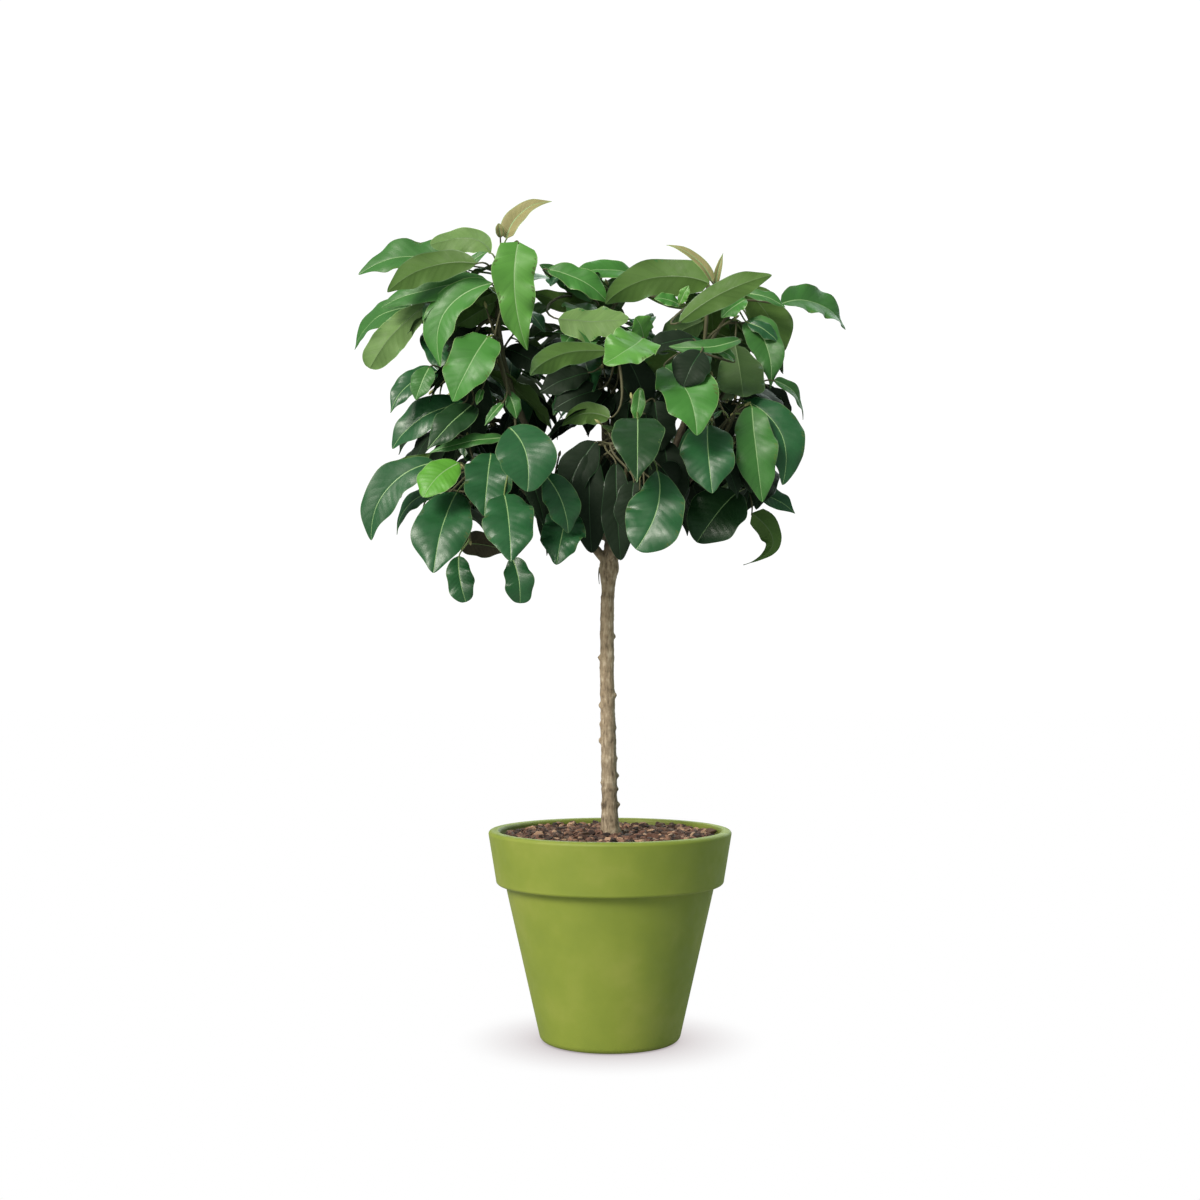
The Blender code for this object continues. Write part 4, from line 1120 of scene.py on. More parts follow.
def round_tube(batch, points, radii, sides, slot):
    """A smooth tapering tube, closed at both ends."""
    points = np.asarray(points)
    tangents = units(np.gradient(points, axis=0))
    across = aside(tangents[0])
    angles = circle(sides)
    rings = []
    for tangent in tangents:
        across = unit(across - tangent * across.dot(tangent))
        rings.append(np.cos(angles)[:, None] * across + np.sin(angles)[:, None] * np.cross(tangent, across))
    spokes = np.array(rings)
    radii = np.asarray(radii)
    skin = points[:, None] + spokes * radii[:, None, None]
    first, last = points[0] + spokes[0] * CLOSED, points[-1] + spokes[-1] * CLOSED
    skin = np.concatenate([first[None], skin, last[None]])
    batch.add(skin.reshape(-1, 3), ring_quads(len(skin), sides), slot)


def curve_points(corners, count):
    """A cubic curve through four control points."""
    t = np.linspace(0.0, 1.0, count)[:, None]
    a, b, c, d = (np.asarray(corner) for corner in corners)
    return (1 - t) ** 3 * a + 3 * t * (1 - t) ** 2 * b + 3 * t * t * (1 - t) * c + t**3 * d


# ---- fine leaves ----


def row_count(grid):
    return grid.veins * (grid.panel_rows + 1) + 2


def blade_quads(grid):
    """The quads of the top and of the underside, which share the margins' points."""
    rows, columns = row_count(grid), 2 * grid.half_columns + 1
    top = np.arange(rows * columns).reshape(rows, columns)
    under = top.copy()
    under[:, 1:-1] = rows * columns + np.arange(rows * (columns - 2)).reshape(rows, -1)
    quads = []
    for sheet, order in ((top, (0, 1, 2, 3)), (under, (3, 2, 1, 0))):
        corners = (sheet[:-1, :-1], sheet[1:, :-1], sheet[1:, 1:], sheet[:-1, 1:])
        quads.append(np.stack([corners[k] for k in order], axis=-1).reshape(-1, 4))
    return np.concatenate(quads)


BLADE_QUADS = {grid: blade_quads(grid) for grid in (LARGE, MIDDLE, SMALL)}


def leaf_axes(leaf):
    """Along the blade, across it to its left, and out of the side that faces up."""
    along = unit(leaf.tip - leaf.base)
    look = LOOKS[leaf.look]
    facing = look.rise * UP - FRONT if look.side < 0 else leaf.facing
    above = unit(facing - along * facing.dot(along))
    return along, np.cross(above, along), above


def rib_curve(leaf, rng):
    """The rib from base to tip: shares, points, directions and the blade's left."""
    s = np.linspace(0.0, 1.0, RIB_STEPS)
    chord = np.linalg.norm(leaf.tip - leaf.base)
    half_arch = math.radians(leaf.arch) / 2
    slope = half_arch * (1 - 2 * s)
    run = (math.sin(half_arch) - np.sin(slope)) / (2 * math.sin(half_arch))
    lift = (np.cos(slope) - math.cos(half_arch)) / (2 * math.sin(half_arch))
    lift -= rng.uniform(0.0, TIP_DROOP) * smooth((s - 0.7) / 0.3) ** 2
    lift += RIB_SWAY * np.sin(2 * math.pi * (rng.uniform(1.2, 2.2) * s + rng.random())) * np.sin(math.pi * s)
    left = (LOOKS[leaf.look].side * leaf.bow + rng.uniform(-RIB_BOW, RIB_BOW)) * 4 * s * (1 - s)
    places = chord * np.stack([run, left, lift], axis=1)
    axes = np.stack(leaf_axes(leaf))
    points = leaf.base + places @ axes
    tangents = units(np.gradient(points, axis=0))
    sideways = axes[1] - tangents * (tangents @ axes[1])[:, None]
    return s, points, tangents, units(sideways)


def sampled(places, s, values):
    return np.stack([np.interp(places, s, axis) for axis in values.T], axis=-1)


def blade_rows(grid, length):
    """Rows of points from base to tip: a narrow strip for each side vein and a panel between two."""
    step = 1.0 / (grid.veins + FIRST_VEIN)
    vein = 0.5 * VEIN_WIDTH / length
    inside = np.linspace(0.0, 1.0, grid.panel_rows + 1)[1:-1]
    rows = [0.0]
    for k in range(grid.veins):
        low, high = (FIRST_VEIN + k) * step - vein, (FIRST_VEIN + k) * step + vein
        rows += [low, high] + list(high + inside * (step - 2 * vein))
    return np.array(rows + [1.0])


def add_blade(batch, leaf, grid, rng):
    """A full blade: pale rib, side veins pressed in, waved margins and a drawn-out tip."""
    look = LOOKS[leaf.look]
    curve, points, tangents, sideways = rib_curve(leaf, rng)
    length = np.linalg.norm(np.diff(points, axis=0), axis=1).sum()

    # Places across the blade run from -1 to 1 between its margins, and each row bends forward to them
    rows = blade_rows(grid, length)
    count, columns = len(rows), 2 * grid.half_columns + 1
    own_half = leaf.width / 2 * np.maximum(fine_outline(rows, leaf.form), NARROWEST)
    rib = np.minimum(RIB_SHARE, RIB_WIDTH / 2 * (1.15 - 0.8 * rows) / own_half)
    margin = 1.0 - np.minimum(MARGIN_SHARE, MARGIN_WIDTH / own_half)
    inner = np.linspace(0.0, 1.0, grid.half_columns - 1)
    half = np.concatenate([rib[:, None] + (margin - rib)[:, None] * inner, np.ones((count, 1))], axis=1)
    across = np.concatenate([-half[:, ::-1], np.zeros((count, 1)), half], axis=1)
    u = np.abs(across)
    side = np.sign(across)
    s = rows[:, None] + CHEVRON * u * rows[:, None] * (1 - rows[:, None])

    # The frame at each point, turned round the rib
    middle = sampled(s, curve, points)
    onward = sampled(s, curve, tangents)
    level = sampled(s, curve, sideways)
    normal = np.cross(onward, level)
    twist = (math.radians(rng.uniform(-TWIST, TWIST)) * (s - TWIST_CENTRE))[..., None]
    spread_way = np.cos(twist) * level + np.sin(twist) * normal
    normal = np.cos(twist) * normal - np.sin(twist) * level

    # How far each point lies out from the rib, and how high over it
    width = leaf.width / 2 * np.maximum(fine_outline(s, leaf.form), NARROWEST)
    wander = 0.015 + 0.8 * look.wave
    width = width * (1 + wander * np.sin(2 * math.pi * (2.3 * s + side * 0.21 + rng.random())) * smooth(4 * s))
    own_fold = math.radians(rng.uniform(-FOLD_SPREAD, FOLD_SPREAD))
    fold = math.radians(look.fold) * (1.25 - 0.5 * s) + own_fold * side
    spread = side * u * width * np.cos(fold)
    edge = width * np.sin(fold) * (np.sqrt(u * u + FOLD_ROUNDING) - math.sqrt(FOLD_ROUNDING))
    edge -= rng.uniform(*EDGE_DROOP) * width * u**3
    waves = rng.uniform(*EDGE_WAVES)
    phase = np.where(side < 0, rng.random(), rng.random())
    tall = look.wave * leaf.width * np.sin(math.pi * np.clip(s, 0, 1)) ** 0.6
    edge += tall * u**2 * np.sin(2 * math.pi * (waves * s + phase))
    edge += 0.25 * tall * u**3 * np.sin(2 * math.pi * (2.1 * waves * s + 2 * phase))
    from_vein = (np.arange(count) - 1) % (grid.panel_rows + 1)
    puff = np.where(from_vein >= 2, 1.0, 0.0)[:, None]
    swelling = np.sqrt(np.clip(4 * u * (1 - u), 0, 1)) * np.minimum(1.0, width / FULL_VEIN_WIDTH)
    edge += VEIN_RELIEF * puff * swelling

    # Both sides, with the rib standing out below
    thick = BLADE_THICKNESS / 2 * (1 - u**6)
    over_rib = np.clip(1 - u / (rib[:, None] * 1.6), 0.0, 1.0)
    ridge = RIB_DEPTH * (1.1 - 0.85 * s) * over_rib**0.7
    flat = middle + spread[..., None] * spread_way
    top = flat + (edge + thick - RIB_GROOVE * over_rib)[..., None] * normal
    under = flat + (edge - thick - ridge)[..., None] * normal
    skin = np.concatenate([top.reshape(-1, 3), under[:, 1:-1].reshape(-1, 3)])
    is_margin = np.zeros((count, columns), bool)
    is_margin[:, [0, -1]] = True
    sharp = np.concatenate([is_margin.ravel(), np.zeros(count * (columns - 2), bool)])
    batch.add(skin, BLADE_QUADS[grid], blade_slots(look, grid, rng), sharp)


def fine_outline(share, form):
    """The same for a form, drawn out to a fine tip."""
    near_base, near_tip, drawn = FORMS[form]
    share = np.clip(share, 0.0, 1.0)
    return outline(share, near_base, near_tip) * (1 - drawn * smooth((share - DRAWN_FROM) / DRAWN_OVER))


def blade_slots(look, grid, rng):
    """A material for each quad: rib, margins, veins, and a shade for each panel between two veins."""
    count, rib = row_count(grid) - 1, grid.half_columns
    is_vein = (np.arange(count) - 1) % (grid.panel_rows + 1) == 0
    is_vein[-1] = False
    panel = np.repeat(np.arange(grid.veins + 1), grid.panel_rows + 1)[:count]
    found = []
    for family, is_top in ((look.top, True), (look.under, False)):
        start = SHADE_NAMES.index(family + "_0")
        shades = np.array([[rng.randrange(2) for _ in range(2)] for _ in range(grid.veins + 1)])
        slots = start + shades[panel][:, np.repeat([0, 1], rib)]
        slots[is_vein] = start + 2
        is_dark = family in DARK_FAMILIES
        slots[:, [rib - 1, rib]] = RIB if is_top else DARK_RIB
        slots[:, [0, -1]] = DARK_MARGIN if is_dark else MARGIN
        # Leaves of painted shade get dark ribs and margins, so that no pale line shows in the shade.
        if family == "deep":
            slots[:, [rib - 1, rib]] = SHADE_NAMES.index("shady_2")
            slots[:, [0, -1]] = SHADE_NAMES.index("shady_0")
        found.append(slots.ravel())
    return np.concatenate(found)


STALK_POINTS = 12
STALK_SIDES = 8
STALK_SINK = 0.0008  # into the twig
STALK_OVERLAP = 0.004  # along the rib
STALK_TURN = 0.5
STALK_EASE = 0.35
STALK_RADIUS = 0.0013
LONG_STALK = 0.055  # from this length on it looks like a twig


def add_stalk(batch, leaf):
    """A stalk that leaves the twig along its own direction and runs into the rib."""
    along, _, above = leaf_axes(leaf)
    half_arch = math.radians(leaf.arch) / 2
    into = math.cos(half_arch) * along + math.sin(half_arch) * above
    reach = np.linalg.norm(leaf.base - leaf.root)
    start = leaf.root - STALK_SINK * leaf.shoot_along
    end = leaf.base + STALK_OVERLAP * into
    outward = unit(unit(leaf.base - leaf.root) + STALK_TURN * leaf.shoot_along)
    ease = STALK_EASE * reach
    points = curve_points((start, start + ease * outward, end - ease * into, end), STALK_POINTS)
    thick = STALK_RADIUS + 0.010 * max(0.0, reach - PETIOLE_LENGTH)
    shares = np.linspace(0, 1, STALK_POINTS)
    radii = np.interp(shares, (0, 0.12, 0.5, 1), (0.0022, 0.0015 + thick / 4, thick, 0.00115))
    # Stalks of the painted-shade leaves take the dark twig colour, as painted shade.
    slot = TWIG if leaf.look == "deep" or reach > LONG_STALK else STALK
    round_tube(batch, points, radii, STALK_SIDES, slot)


TWIG_STEPS = 6  # between two points of the rule
FINE_TWIG_SIDES = 10
NODE_SWELL = 0.10


def add_twig(batch, points, radii, rng):
    """A twig with a slight swelling at each node."""
    count = TWIG_STEPS * (len(points) - 1) + 1
    places = np.linspace(0, len(points) - 1, count)
    fine = np.array([np.interp(places, range(len(points)), axis) for axis in np.asarray(points).T]).T
    for _ in range(3):
        fine[1:-1] = (fine[:-2] + 2 * fine[1:-1] + fine[2:]) / 4
    reach = np.interp(places, range(len(points)), radii)
    swell = 1 + NODE_SWELL * np.sin(places * 5.0 + rng.random() * 6)
    round_tube(batch, fine, reach * swell, FINE_TWIG_SIDES, TWIG)


# Heights of the loose sliver of bark, and its distance from the trunk's centre as a share of the radius
PEEL = ((0.776, 0.95), (0.766, 1.12), (0.757, 1.25), (0.748, 1.28))
PEEL_MASS = "foliage_lower_centre"  # whose twigs it is joined to


def add_peel(batch):
    """The sliver of bark that has come loose below the fork."""
    corners = [trunk_centre(h) + share * trunk_radius(h) * direction(math.pi, 0.0) for h, share in PEEL]
    round_tube(batch, curve_points(corners, 10), np.linspace(0.0012, 0.0005, 10), 6, TWIG)


BUD_LENGTH = 0.012
BUD_RADIUS = 0.0026
BUD_SINK = 0.002


def add_bud(batch, place, along):
    """A pointed bud."""
    shares = np.linspace(0.0, 1.0, 9)
    points = place + shares[:, None] * along * BUD_LENGTH
    radii = BUD_RADIUS * np.sin(math.pi * np.clip(shares * 0.86 + 0.14, 0, 1)) ** 0.8
    round_tube(batch, points, np.maximum(radii, 0.0002), FINE_TWIG_SIDES, BUD)


# ---- materials ----


def new_material(name, colour, roughness):
    material = bpy.data.materials.new(name)
    material.use_nodes = True
    shader = material.node_tree.nodes["Principled BSDF"]
    shader.inputs["Base Color"].default_value = (*colour, 1.0)
    shader.inputs["Roughness"].default_value = roughness
    return material, shader


def link(owner, output, node_input):
    owner.node_tree.links.new(output, node_input)


def node(owner, kind, **values):
    """A node of a material or of the world, with values for its inputs and its settings."""
    made = owner.node_tree.nodes.new(kind)
    for name, value in values.items():
        if name in made.inputs:
            made.inputs[name].default_value = value
        else:
            setattr(made, name, value)
    return made


def place_node(material, stretch=(1.0, 1.0, 1.0)):
    """The object's own coordinates, stretched."""
    coords = node(material, "ShaderNodeTexCoord")
    mapping = node(material, "ShaderNodeMapping", Scale=stretch)
    link(material, coords.outputs["Object"], mapping.inputs["Vector"])
    return mapping.outputs["Vector"]


def noise_node(material, place, scale, detail=3.0):
    made = node(material, "ShaderNodeTexNoise", Scale=scale, Detail=detail)
    link(material, place, made.inputs["Vector"])
    return made.outputs["Fac"]


def span_node(material, value, start, end, low=0.0, high=1.0):
    """A value that runs from low to high while another runs from start to end."""
    ends = {"From Min": start, "From Max": end, "To Min": low, "To Max": high}
    span = node(material, "ShaderNodeMapRange", **ends)
    link(material, value, span.inputs["Value"])
    return span.outputs["Result"]


def vary_roughness(material, shader, value, low, high):
    link(material, span_node(material, value, 0.3, 0.7, low, high), shader.inputs["Roughness"])


def add_bump(material, shader, value, strength, distance):
    bump = node(material, "ShaderNodeBump", Strength=strength, Distance=distance)
    link(material, value, bump.inputs["Height"])
    link(material, bump.outputs["Normal"], shader.inputs["Normal"])


def ramp_colour(material, shader, value, stops):
    """Base colour from a value: stops are (position, colour)."""
    ramp = node(material, "ShaderNodeValToRGB")
    elements = ramp.color_ramp.elements
    while len(elements) < len(stops):
        elements.new(0.5)
    for element, (position, colour) in zip(elements, stops):
        element.position = position
        element.color = (*colour, 1.0)
    link(material, value, ramp.inputs["Fac"])
    if shader:
        link(material, ramp.outputs["Color"], shader.inputs["Base Color"])
    return ramp.outputs["Color"]


def leaf_material(name, colour, roughness, mirror=0.4):
    """Waxy skin: plain colour, with gloss and fine relief that wander."""
    material, shader = new_material(name, colour, roughness)
    shader.inputs["Specular IOR Level"].default_value = mirror
    place = place_node(material)
    vary_roughness(material, shader, noise_node(material, place, 90.0), roughness - 0.08, roughness + 0.10)
    add_bump(material, shader, noise_node(material, place, 420.0, 2.0), 0.16, 0.0006)
    return material


def foliage_materials():
    found = []
    for family, (colour, roughness, mirror) in FAMILIES.items():
        for shade, share in enumerate(SHADES):
            shaded = [part * share for part in colour]
            found.append(leaf_material(f"{family}_{shade}", shaded, roughness, mirror))
    return found + [
        leaf_material("rib_pale", (0.215, 0.350, 0.150), 0.45),
        leaf_material("rib_green", (0.095, 0.160, 0.055), 0.50),
        leaf_material("margin_pale", (0.200, 0.330, 0.110), 0.45),
        leaf_material("margin_green", (0.080, 0.150, 0.055), 0.50),
    ]


def twig_materials():
    return [
        leaf_material("twig_bark", (0.085, 0.080, 0.040), 0.70),
        leaf_material("stalk_green", (0.130, 0.185, 0.055), 0.50),
        leaf_material("bud_tan", (0.300, 0.290, 0.120), 0.55),
    ]


def scaled_node(material, value, factor, added=0.0):
    made = node(material, "ShaderNodeMath", operation="MULTIPLY_ADD")
    link(material, value, made.inputs[0])
    made.inputs[1].default_value = factor
    feed(material, added, made.inputs[2])
    return made.outputs[0]


def mix_node(material, share, low, high, blend="MIX"):
    made = node(material, "ShaderNodeMix", data_type="RGBA", blend_type=blend)
    for value, place in ((share, 0), (low, 6), (high, 7)):
        feed(material, value, made.inputs[place])
    return made.outputs[2]


def feed(material, value, node_input):
    """Give an input a plain value, or another node's output."""
    if isinstance(value, bpy.types.NodeSocket):
        link(material, value, node_input)
    else:
        node_input.default_value = value


GRAIN_SHARE = 0.66
BLOTCH_SHARE = 0.34
# Painted light lifts the stem above its foot, where the crown's shadow falls, and painted shade darkens the
# boughs: heights between which the colour changes
PAINTED_LIFT = (1.40, 1.36, 1.34, 1.0)
PAINTED_LIFT_SPAN = (0.47, 0.62)
FORK_SHADE_SPAN = (0.785, 0.815)


def bark_material():
    """Greyish brown bark: long grain, blotches, painted light on the upper stem and painted shade on the boughs
    high up.
    """
    material, shader = new_material("bark_grain", (0.25, 0.20, 0.14), 0.85)
    grain = noise_node(material, place_node(material, (1.0, 1.0, 0.30)), 240.0, 5.0)
    blotch = noise_node(material, place_node(material, (0.45, 0.45, 1.0)), 85.0, 4.0)
    mixed = scaled_node(material, grain, GRAIN_SHARE, scaled_node(material, blotch, BLOTCH_SHARE))
    low = ramp_colour(material, None, mixed, (
        (0.34, (0.080, 0.055, 0.034)), (0.45, (0.200, 0.148, 0.098)), (0.55, (0.275, 0.212, 0.148)),
        (0.68, (0.420, 0.345, 0.262))))
    # These darker colours for the boughs above the fork are painted shade.
    high = ramp_colour(material, None, mixed, (
        (0.30, (0.040, 0.030, 0.018)), (0.50, (0.085, 0.068, 0.042)), (0.75, (0.150, 0.125, 0.082))))
    coords = node(material, "ShaderNodeTexCoord")
    parts = node(material, "ShaderNodeSeparateXYZ")
    link(material, coords.outputs["Object"], parts.inputs[0])
    height = parts.outputs["Z"]
    # The stem's lift above its foot is painted light.
    clear = mix_node(material, span_node(material, height, *PAINTED_LIFT_SPAN), low, PAINTED_LIFT, "MULTIPLY")
    mix = mix_node(material, span_node(material, height, *FORK_SHADE_SPAN), clear, high)
    link(material, mix, shader.inputs["Base Color"])
    vary_roughness(material, shader, blotch, 0.72, 0.92)
    add_bump(material, shader, grain, 0.55, 0.0012)
    return material


def pot_material(name, depth=1.0):
    """Matte moulded plastic: faint clouds, uneven gloss and a fine orange-peel skin; depth darkens it, as
    painted shade on the inner wall.
    """
    material, shader = new_material(name, (0.235, 0.268, 0.030), 0.50)
    place = place_node(material)
    clouds = noise_node(material, place, 11.0, 6.0)
    stops = ((0.30, (0.166, 0.212, 0.021)), (0.50, (0.190, 0.234, 0.025)), (0.72, (0.232, 0.262, 0.040)))
    stops = [(at, tuple(depth * part for part in colour)) for at, colour in stops]
    ramp_colour(material, shader, clouds, stops)
    vary_roughness(material, shader, noise_node(material, place, 38.0, 4.0), 0.56, 0.72)
    add_bump(material, shader, noise_node(material, place, 640.0, 2.0), 0.10, 0.0005)
    return material


def soil_material():
    material, shader = new_material("soil_crumb", (0.035, 0.022, 0.016), 0.95)
    place = place_node(material)
    crumbs = noise_node(material, place, 180.0, 6.0)
    ramp_colour(material, shader, crumbs, (
        (0.35, (0.012, 0.007, 0.006)), (0.55, (0.045, 0.026, 0.019)), (0.75, (0.100, 0.062, 0.048))))
    vary_roughness(material, shader, crumbs, 0.85, 1.0)
    add_bump(material, shader, crumbs, 1.0, 0.004)
    return material


CHIP_COLOURS = (
    (0.125, 0.058, 0.040), (0.060, 0.028, 0.020), (0.215, 0.112, 0.072), (0.024, 0.011, 0.009),
    (0.360, 0.220, 0.145), (0.095, 0.050, 0.034),
)


def chip_materials():
    found = []
    for index, colour in enumerate(CHIP_COLOURS):
        material, shader = new_material(f"bark_chip_{index}", colour, 0.85)
        place = place_node(material, (1.0, 0.35, 1.0))
        fibre = noise_node(material, place, 500.0, 3.0)
        vary_roughness(material, shader, fibre, 0.75, 0.95)
        add_bump(material, shader, fibre, 0.6, 0.0012)
        found.append(material)
    return found


# ---- trunk and boughs ----

# Small stubs and scars besides the knots: height, radians round the trunk, size, height spread
SCARS = (
    (0.727, -1.75, 0.0016, 0.0050), (0.7265, 1.2, 0.0010, 0.005), (0.517, 3.05, 0.0016, 0.0035),
    (0.511, 0.15, 0.0017, 0.0035), (0.461, 0.05, 0.0022, 0.0040), (0.421, 3.2, 0.0018, 0.0035),
    (0.4106, -0.15, 0.0024, 0.0035), (0.387, -1.6, -0.0012, 0.0045), (0.600, -1.2, 0.0010, 0.0040),
    (0.640, 1.9, 0.0022, 0.0045), (0.535, 1.5, 0.0024, 0.0045), (0.455, 1.8, 0.0022, 0.0045),
    (0.690, 2.6, 0.0012, 0.0035),
)
# A bump on the stem: its half width in radians, how flat its top is, and the height and spread of the ring
# that it raises round the stem
Bump = namedtuple("Bump", "width flatness ring ring_spread")
KNOT_BUMP = Bump(0.30, 1.6, 0.0007, 0.006)
SCAR_BUMP = Bump(0.38, 1.4, 0.0004, 0.0025)
FINE_KNOT_SIZE = KNOT_SIZE * 0.9
FINE_KNOT_SPREAD = 0.0042
COLLAR = 0.0022
COLLAR_LENGTH = 0.016
BOUGH_POINTS = 60
FINE_HEIGHTS = 330
FINE_SIDES = 48
VOXEL = 0.0016
# How deep the bark's relief goes
FIBRE_DEPTH = 0.00042
LUMP_DEPTH = 0.00070
WART_DEPTH = 0.00075
CRACK_DEPTH = 0.00055
RING_DEPTH = 0.00045


def limb_batch(paths):
    """Round limbs that overlap where they fork, with a collar where a bough leaves its parent."""
    batch = Batch()
    heights = np.linspace(TRUNK_FOOT - 0.0002, TRUNK_TOP - 0.004, FINE_HEIGHTS)
    heights = np.concatenate([heights, [TRUNK_TOP - 0.0015]])
    angles = circle(FINE_SIDES)
    around = np.array([direction(angle, 0.0) for angle in angles])
    bumps = [(*place, FINE_KNOT_SIZE, FINE_KNOT_SPREAD, KNOT_BUMP) for place in KNOTS]
    bumps += [(*scar, SCAR_BUMP) for scar in SCARS]
    rings = []
    for height in heights:
        reach = trunk_radius(max(height, TRUNK_FOOT)) * np.ones(FINE_SIDES)
        for at, angle, size, spread, bump in bumps:
            turned = np.remainder(angles - angle + math.pi, 2 * math.pi) - math.pi
            off = ((height - at) / spread) ** 2 + (turned / bump.width) ** 2
            reach += size * np.exp(-(off**bump.flatness))
            reach += bump.ring * math.exp(-(((height - at) / bump.ring_spread) ** 2))
        rings.append(trunk_centre(height) + reach[:, None] * around)
    ends = [np.tile(trunk_centre(heights[end]), (1, FINE_SIDES, 1)) for end in (0, -1)]
    skin = np.concatenate([ends[0], rings, ends[1]])
    batch.add(skin.reshape(-1, 3), ring_quads(len(skin), FINE_SIDES), 0)
    for bough in BOUGHS:
        points, _ = bough_path(bough, paths, BOUGH_POINTS)
        steps = np.linalg.norm(np.diff(points, axis=0), axis=1)
        run = np.concatenate([[0.0], np.cumsum(steps)])
        collar = COLLAR * np.exp(-run / COLLAR_LENGTH)
        radii = np.linspace(bough.radius, bough.tip_radius, len(points)) + collar
        radii *= 1 + 0.05 * np.sin(run * 190 + bough.azimuth) ** 8
        round_tube(batch, points, radii, 24, 0)
    return batch


def make_limbs(paths, material):
    """One skin over trunk and boughs, with the bark's relief pressed into it."""
    rough = limb_batch(paths).build("limbs_rough", [material])
    remesh = rough.modifiers.new("skin", "REMESH")
    remesh.mode = "VOXEL"
    remesh.voxel_size = VOXEL
    even = rough.modifiers.new("even", "SMOOTH")
    even.factor = 0.5
    even.iterations = 2
    mesh = shaped(rough)
    bpy.data.objects.remove(rough)
    mesh.name = "trunk_and_boughs"
    points = read(mesh.vertices, "co", 3).astype(float)
    normals = read(mesh.vertices, "normal", 3)
    fibres = noise(points * (1, 1, 0.10), 0.0030, 3) + 0.6 * noise(points * (1, 1, 0.18), 0.0016, 4)
    lumps = noise(points, 0.018, 5)
    cracks = np.abs(noise(points * (1, 1, 0.30), 0.0055, 6))
    warts = noise(points * (1, 1, 1.6), 0.0075, 7) ** 2 * np.clip((0.46 - points[:, 2]) / 0.12, 0.35, 1.0)
    rings = noise(points * (0.25, 0.25, 1), 0.0048, 8)
    relief = FIBRE_DEPTH * fibres + LUMP_DEPTH * lumps + WART_DEPTH * warts
    relief = relief - CRACK_DEPTH * np.exp(-cracks * 12) + RING_DEPTH * rings * np.abs(rings)
    points += normals * relief[:, None]
    mesh.vertices.foreach_set("co", points.astype(np.float32).ravel())
    mesh.update()
    mesh.materials.clear()
    mesh.materials.append(material)
    return placed("trunk_and_boughs", mesh)


# ---- pot and mulch ----

POT_SIDES = 180
DRAIN_SIDES = 32
POT_SHARP_ANGLE = 50
SHOULDER_FILLET = 0.0035


def inner_radius(height):
    base = FOOT_RADIUS - WALL
    return base + (RIM_RADIUS - LIP_WIDTH - base) * (height - BASE_THICKNESS) / (POT_HEIGHT - BASE_THICKNESS)


def arc(centre, radius, start, end, steps=9):
    angles = np.radians(np.linspace(start, end, steps))
    return [(centre[0] + radius * math.cos(a), centre[1] + radius * math.sin(a)) for a in angles]


def along_wall(start, end, steps):
    """Points between two corners of the profile, closer together near its ends."""
    shares = (1 - np.cos(np.linspace(0, math.pi, steps + 1)[1:-1])) / 2
    return [(start[0] + (end[0] - start[0]) * s, start[1] + (end[1] - start[1]) * s) for s in shares]


def pot_profile():
    band_foot = POT_HEIGHT - BAND_HEIGHT
    lip = LIP_ROUNDING
    fillet = SHOULDER_FILLET
    outside = arc((FOOT_RADIUS - FOOT_ROUNDING, FOOT_ROUNDING), FOOT_ROUNDING, -90, -8)
    shoulder = (SHOULDER_RADIUS, band_foot - fillet)
    outside += along_wall(outside[-1], shoulder, 24) + [shoulder]
    outside += arc((SHOULDER_RADIUS + fillet, band_foot - fillet), fillet, 180, 90, 5)[1:]
    outside += arc((BAND_FOOT_RADIUS - lip, band_foot + lip), lip, -90, 5)
    band_top = arc((RIM_RADIUS - lip, POT_HEIGHT - lip), lip, 5, 90)
    outside += along_wall(outside[-1], band_top[0], 14) + band_top
    lip_inner = arc((RIM_RADIUS - LIP_WIDTH + lip, POT_HEIGHT - lip), lip, 90, 190)
    floor_corner = (inner_radius(BASE_THICKNESS), BASE_THICKNESS)
    inside = lip_inner + along_wall(lip_inner[-1], floor_corner, 14) + [floor_corner]
    centre = along_wall((FOOT_RADIUS - FOOT_ROUNDING, 0.0), (0.0, 0.0), 8)
    middle = along_wall(floor_corner, (0.0, BASE_THICKNESS), 8)
    return centre[::-1] + outside + inside + middle


def make_pot(outside, inside):
    """The pot's shell, whose inner wall is darkened with painted shade."""
    batch = Batch()
    hub = [[(radius, height) for radius in (CLOSED, 0.0005)] for height in (0.0, BASE_THICKNESS)]
    profile = hub[0] + pot_profile() + hub[1][::-1]
    skin = np.array([[(r * math.cos(a), r * math.sin(a), z) for a in circle(POT_SIDES)] for r, z in profile])
    batch.add(skin.reshape(-1, 3), ring_quads(len(skin), POT_SIDES), 0)
    pot = batch.build("pot_shell", [outside, inside])
    holes = Batch()
    for hole in range(DRAIN_HOLES):
        around = 2 * math.pi * hole / DRAIN_HOLES
        centre = DRAIN_RING_RADIUS * direction(around, 0.0)
        heights = np.linspace(-BASE_THICKNESS, 2 * BASE_THICKNESS, 3)
        round_tube(holes, [centre + UP * h for h in heights], [DRAIN_RADIUS] * 3, DRAIN_SIDES, 0)
    cutter = holes.build("drain_cutter", [outside])
    cut = pot.modifiers.new("drains", "BOOLEAN")
    cut.operation = "DIFFERENCE"
    cut.solver = "EXACT"
    cut.object = cutter
    mesh = shaped(pot)
    pot.modifiers.clear()
    pot.data = mesh
    bpy.data.objects.remove(cutter)
    mesh.set_sharp_from_angle(angle=math.radians(POT_SHARP_ANGLE))
    centres, normals = (read(mesh.polygons, name, 3) for name in ("center", "normal"))
    turned_in = (centres[:, :2] * normals[:, :2]).sum(axis=1) < -0.5 * np.hypot(centres[:, 0], centres[:, 1])
    gets_painted_shade = turned_in & (centres[:, 2] > 2 * BASE_THICKNESS)
    mesh.polygons.foreach_set("material_index", gets_painted_shade.astype(np.int32))
    return pot


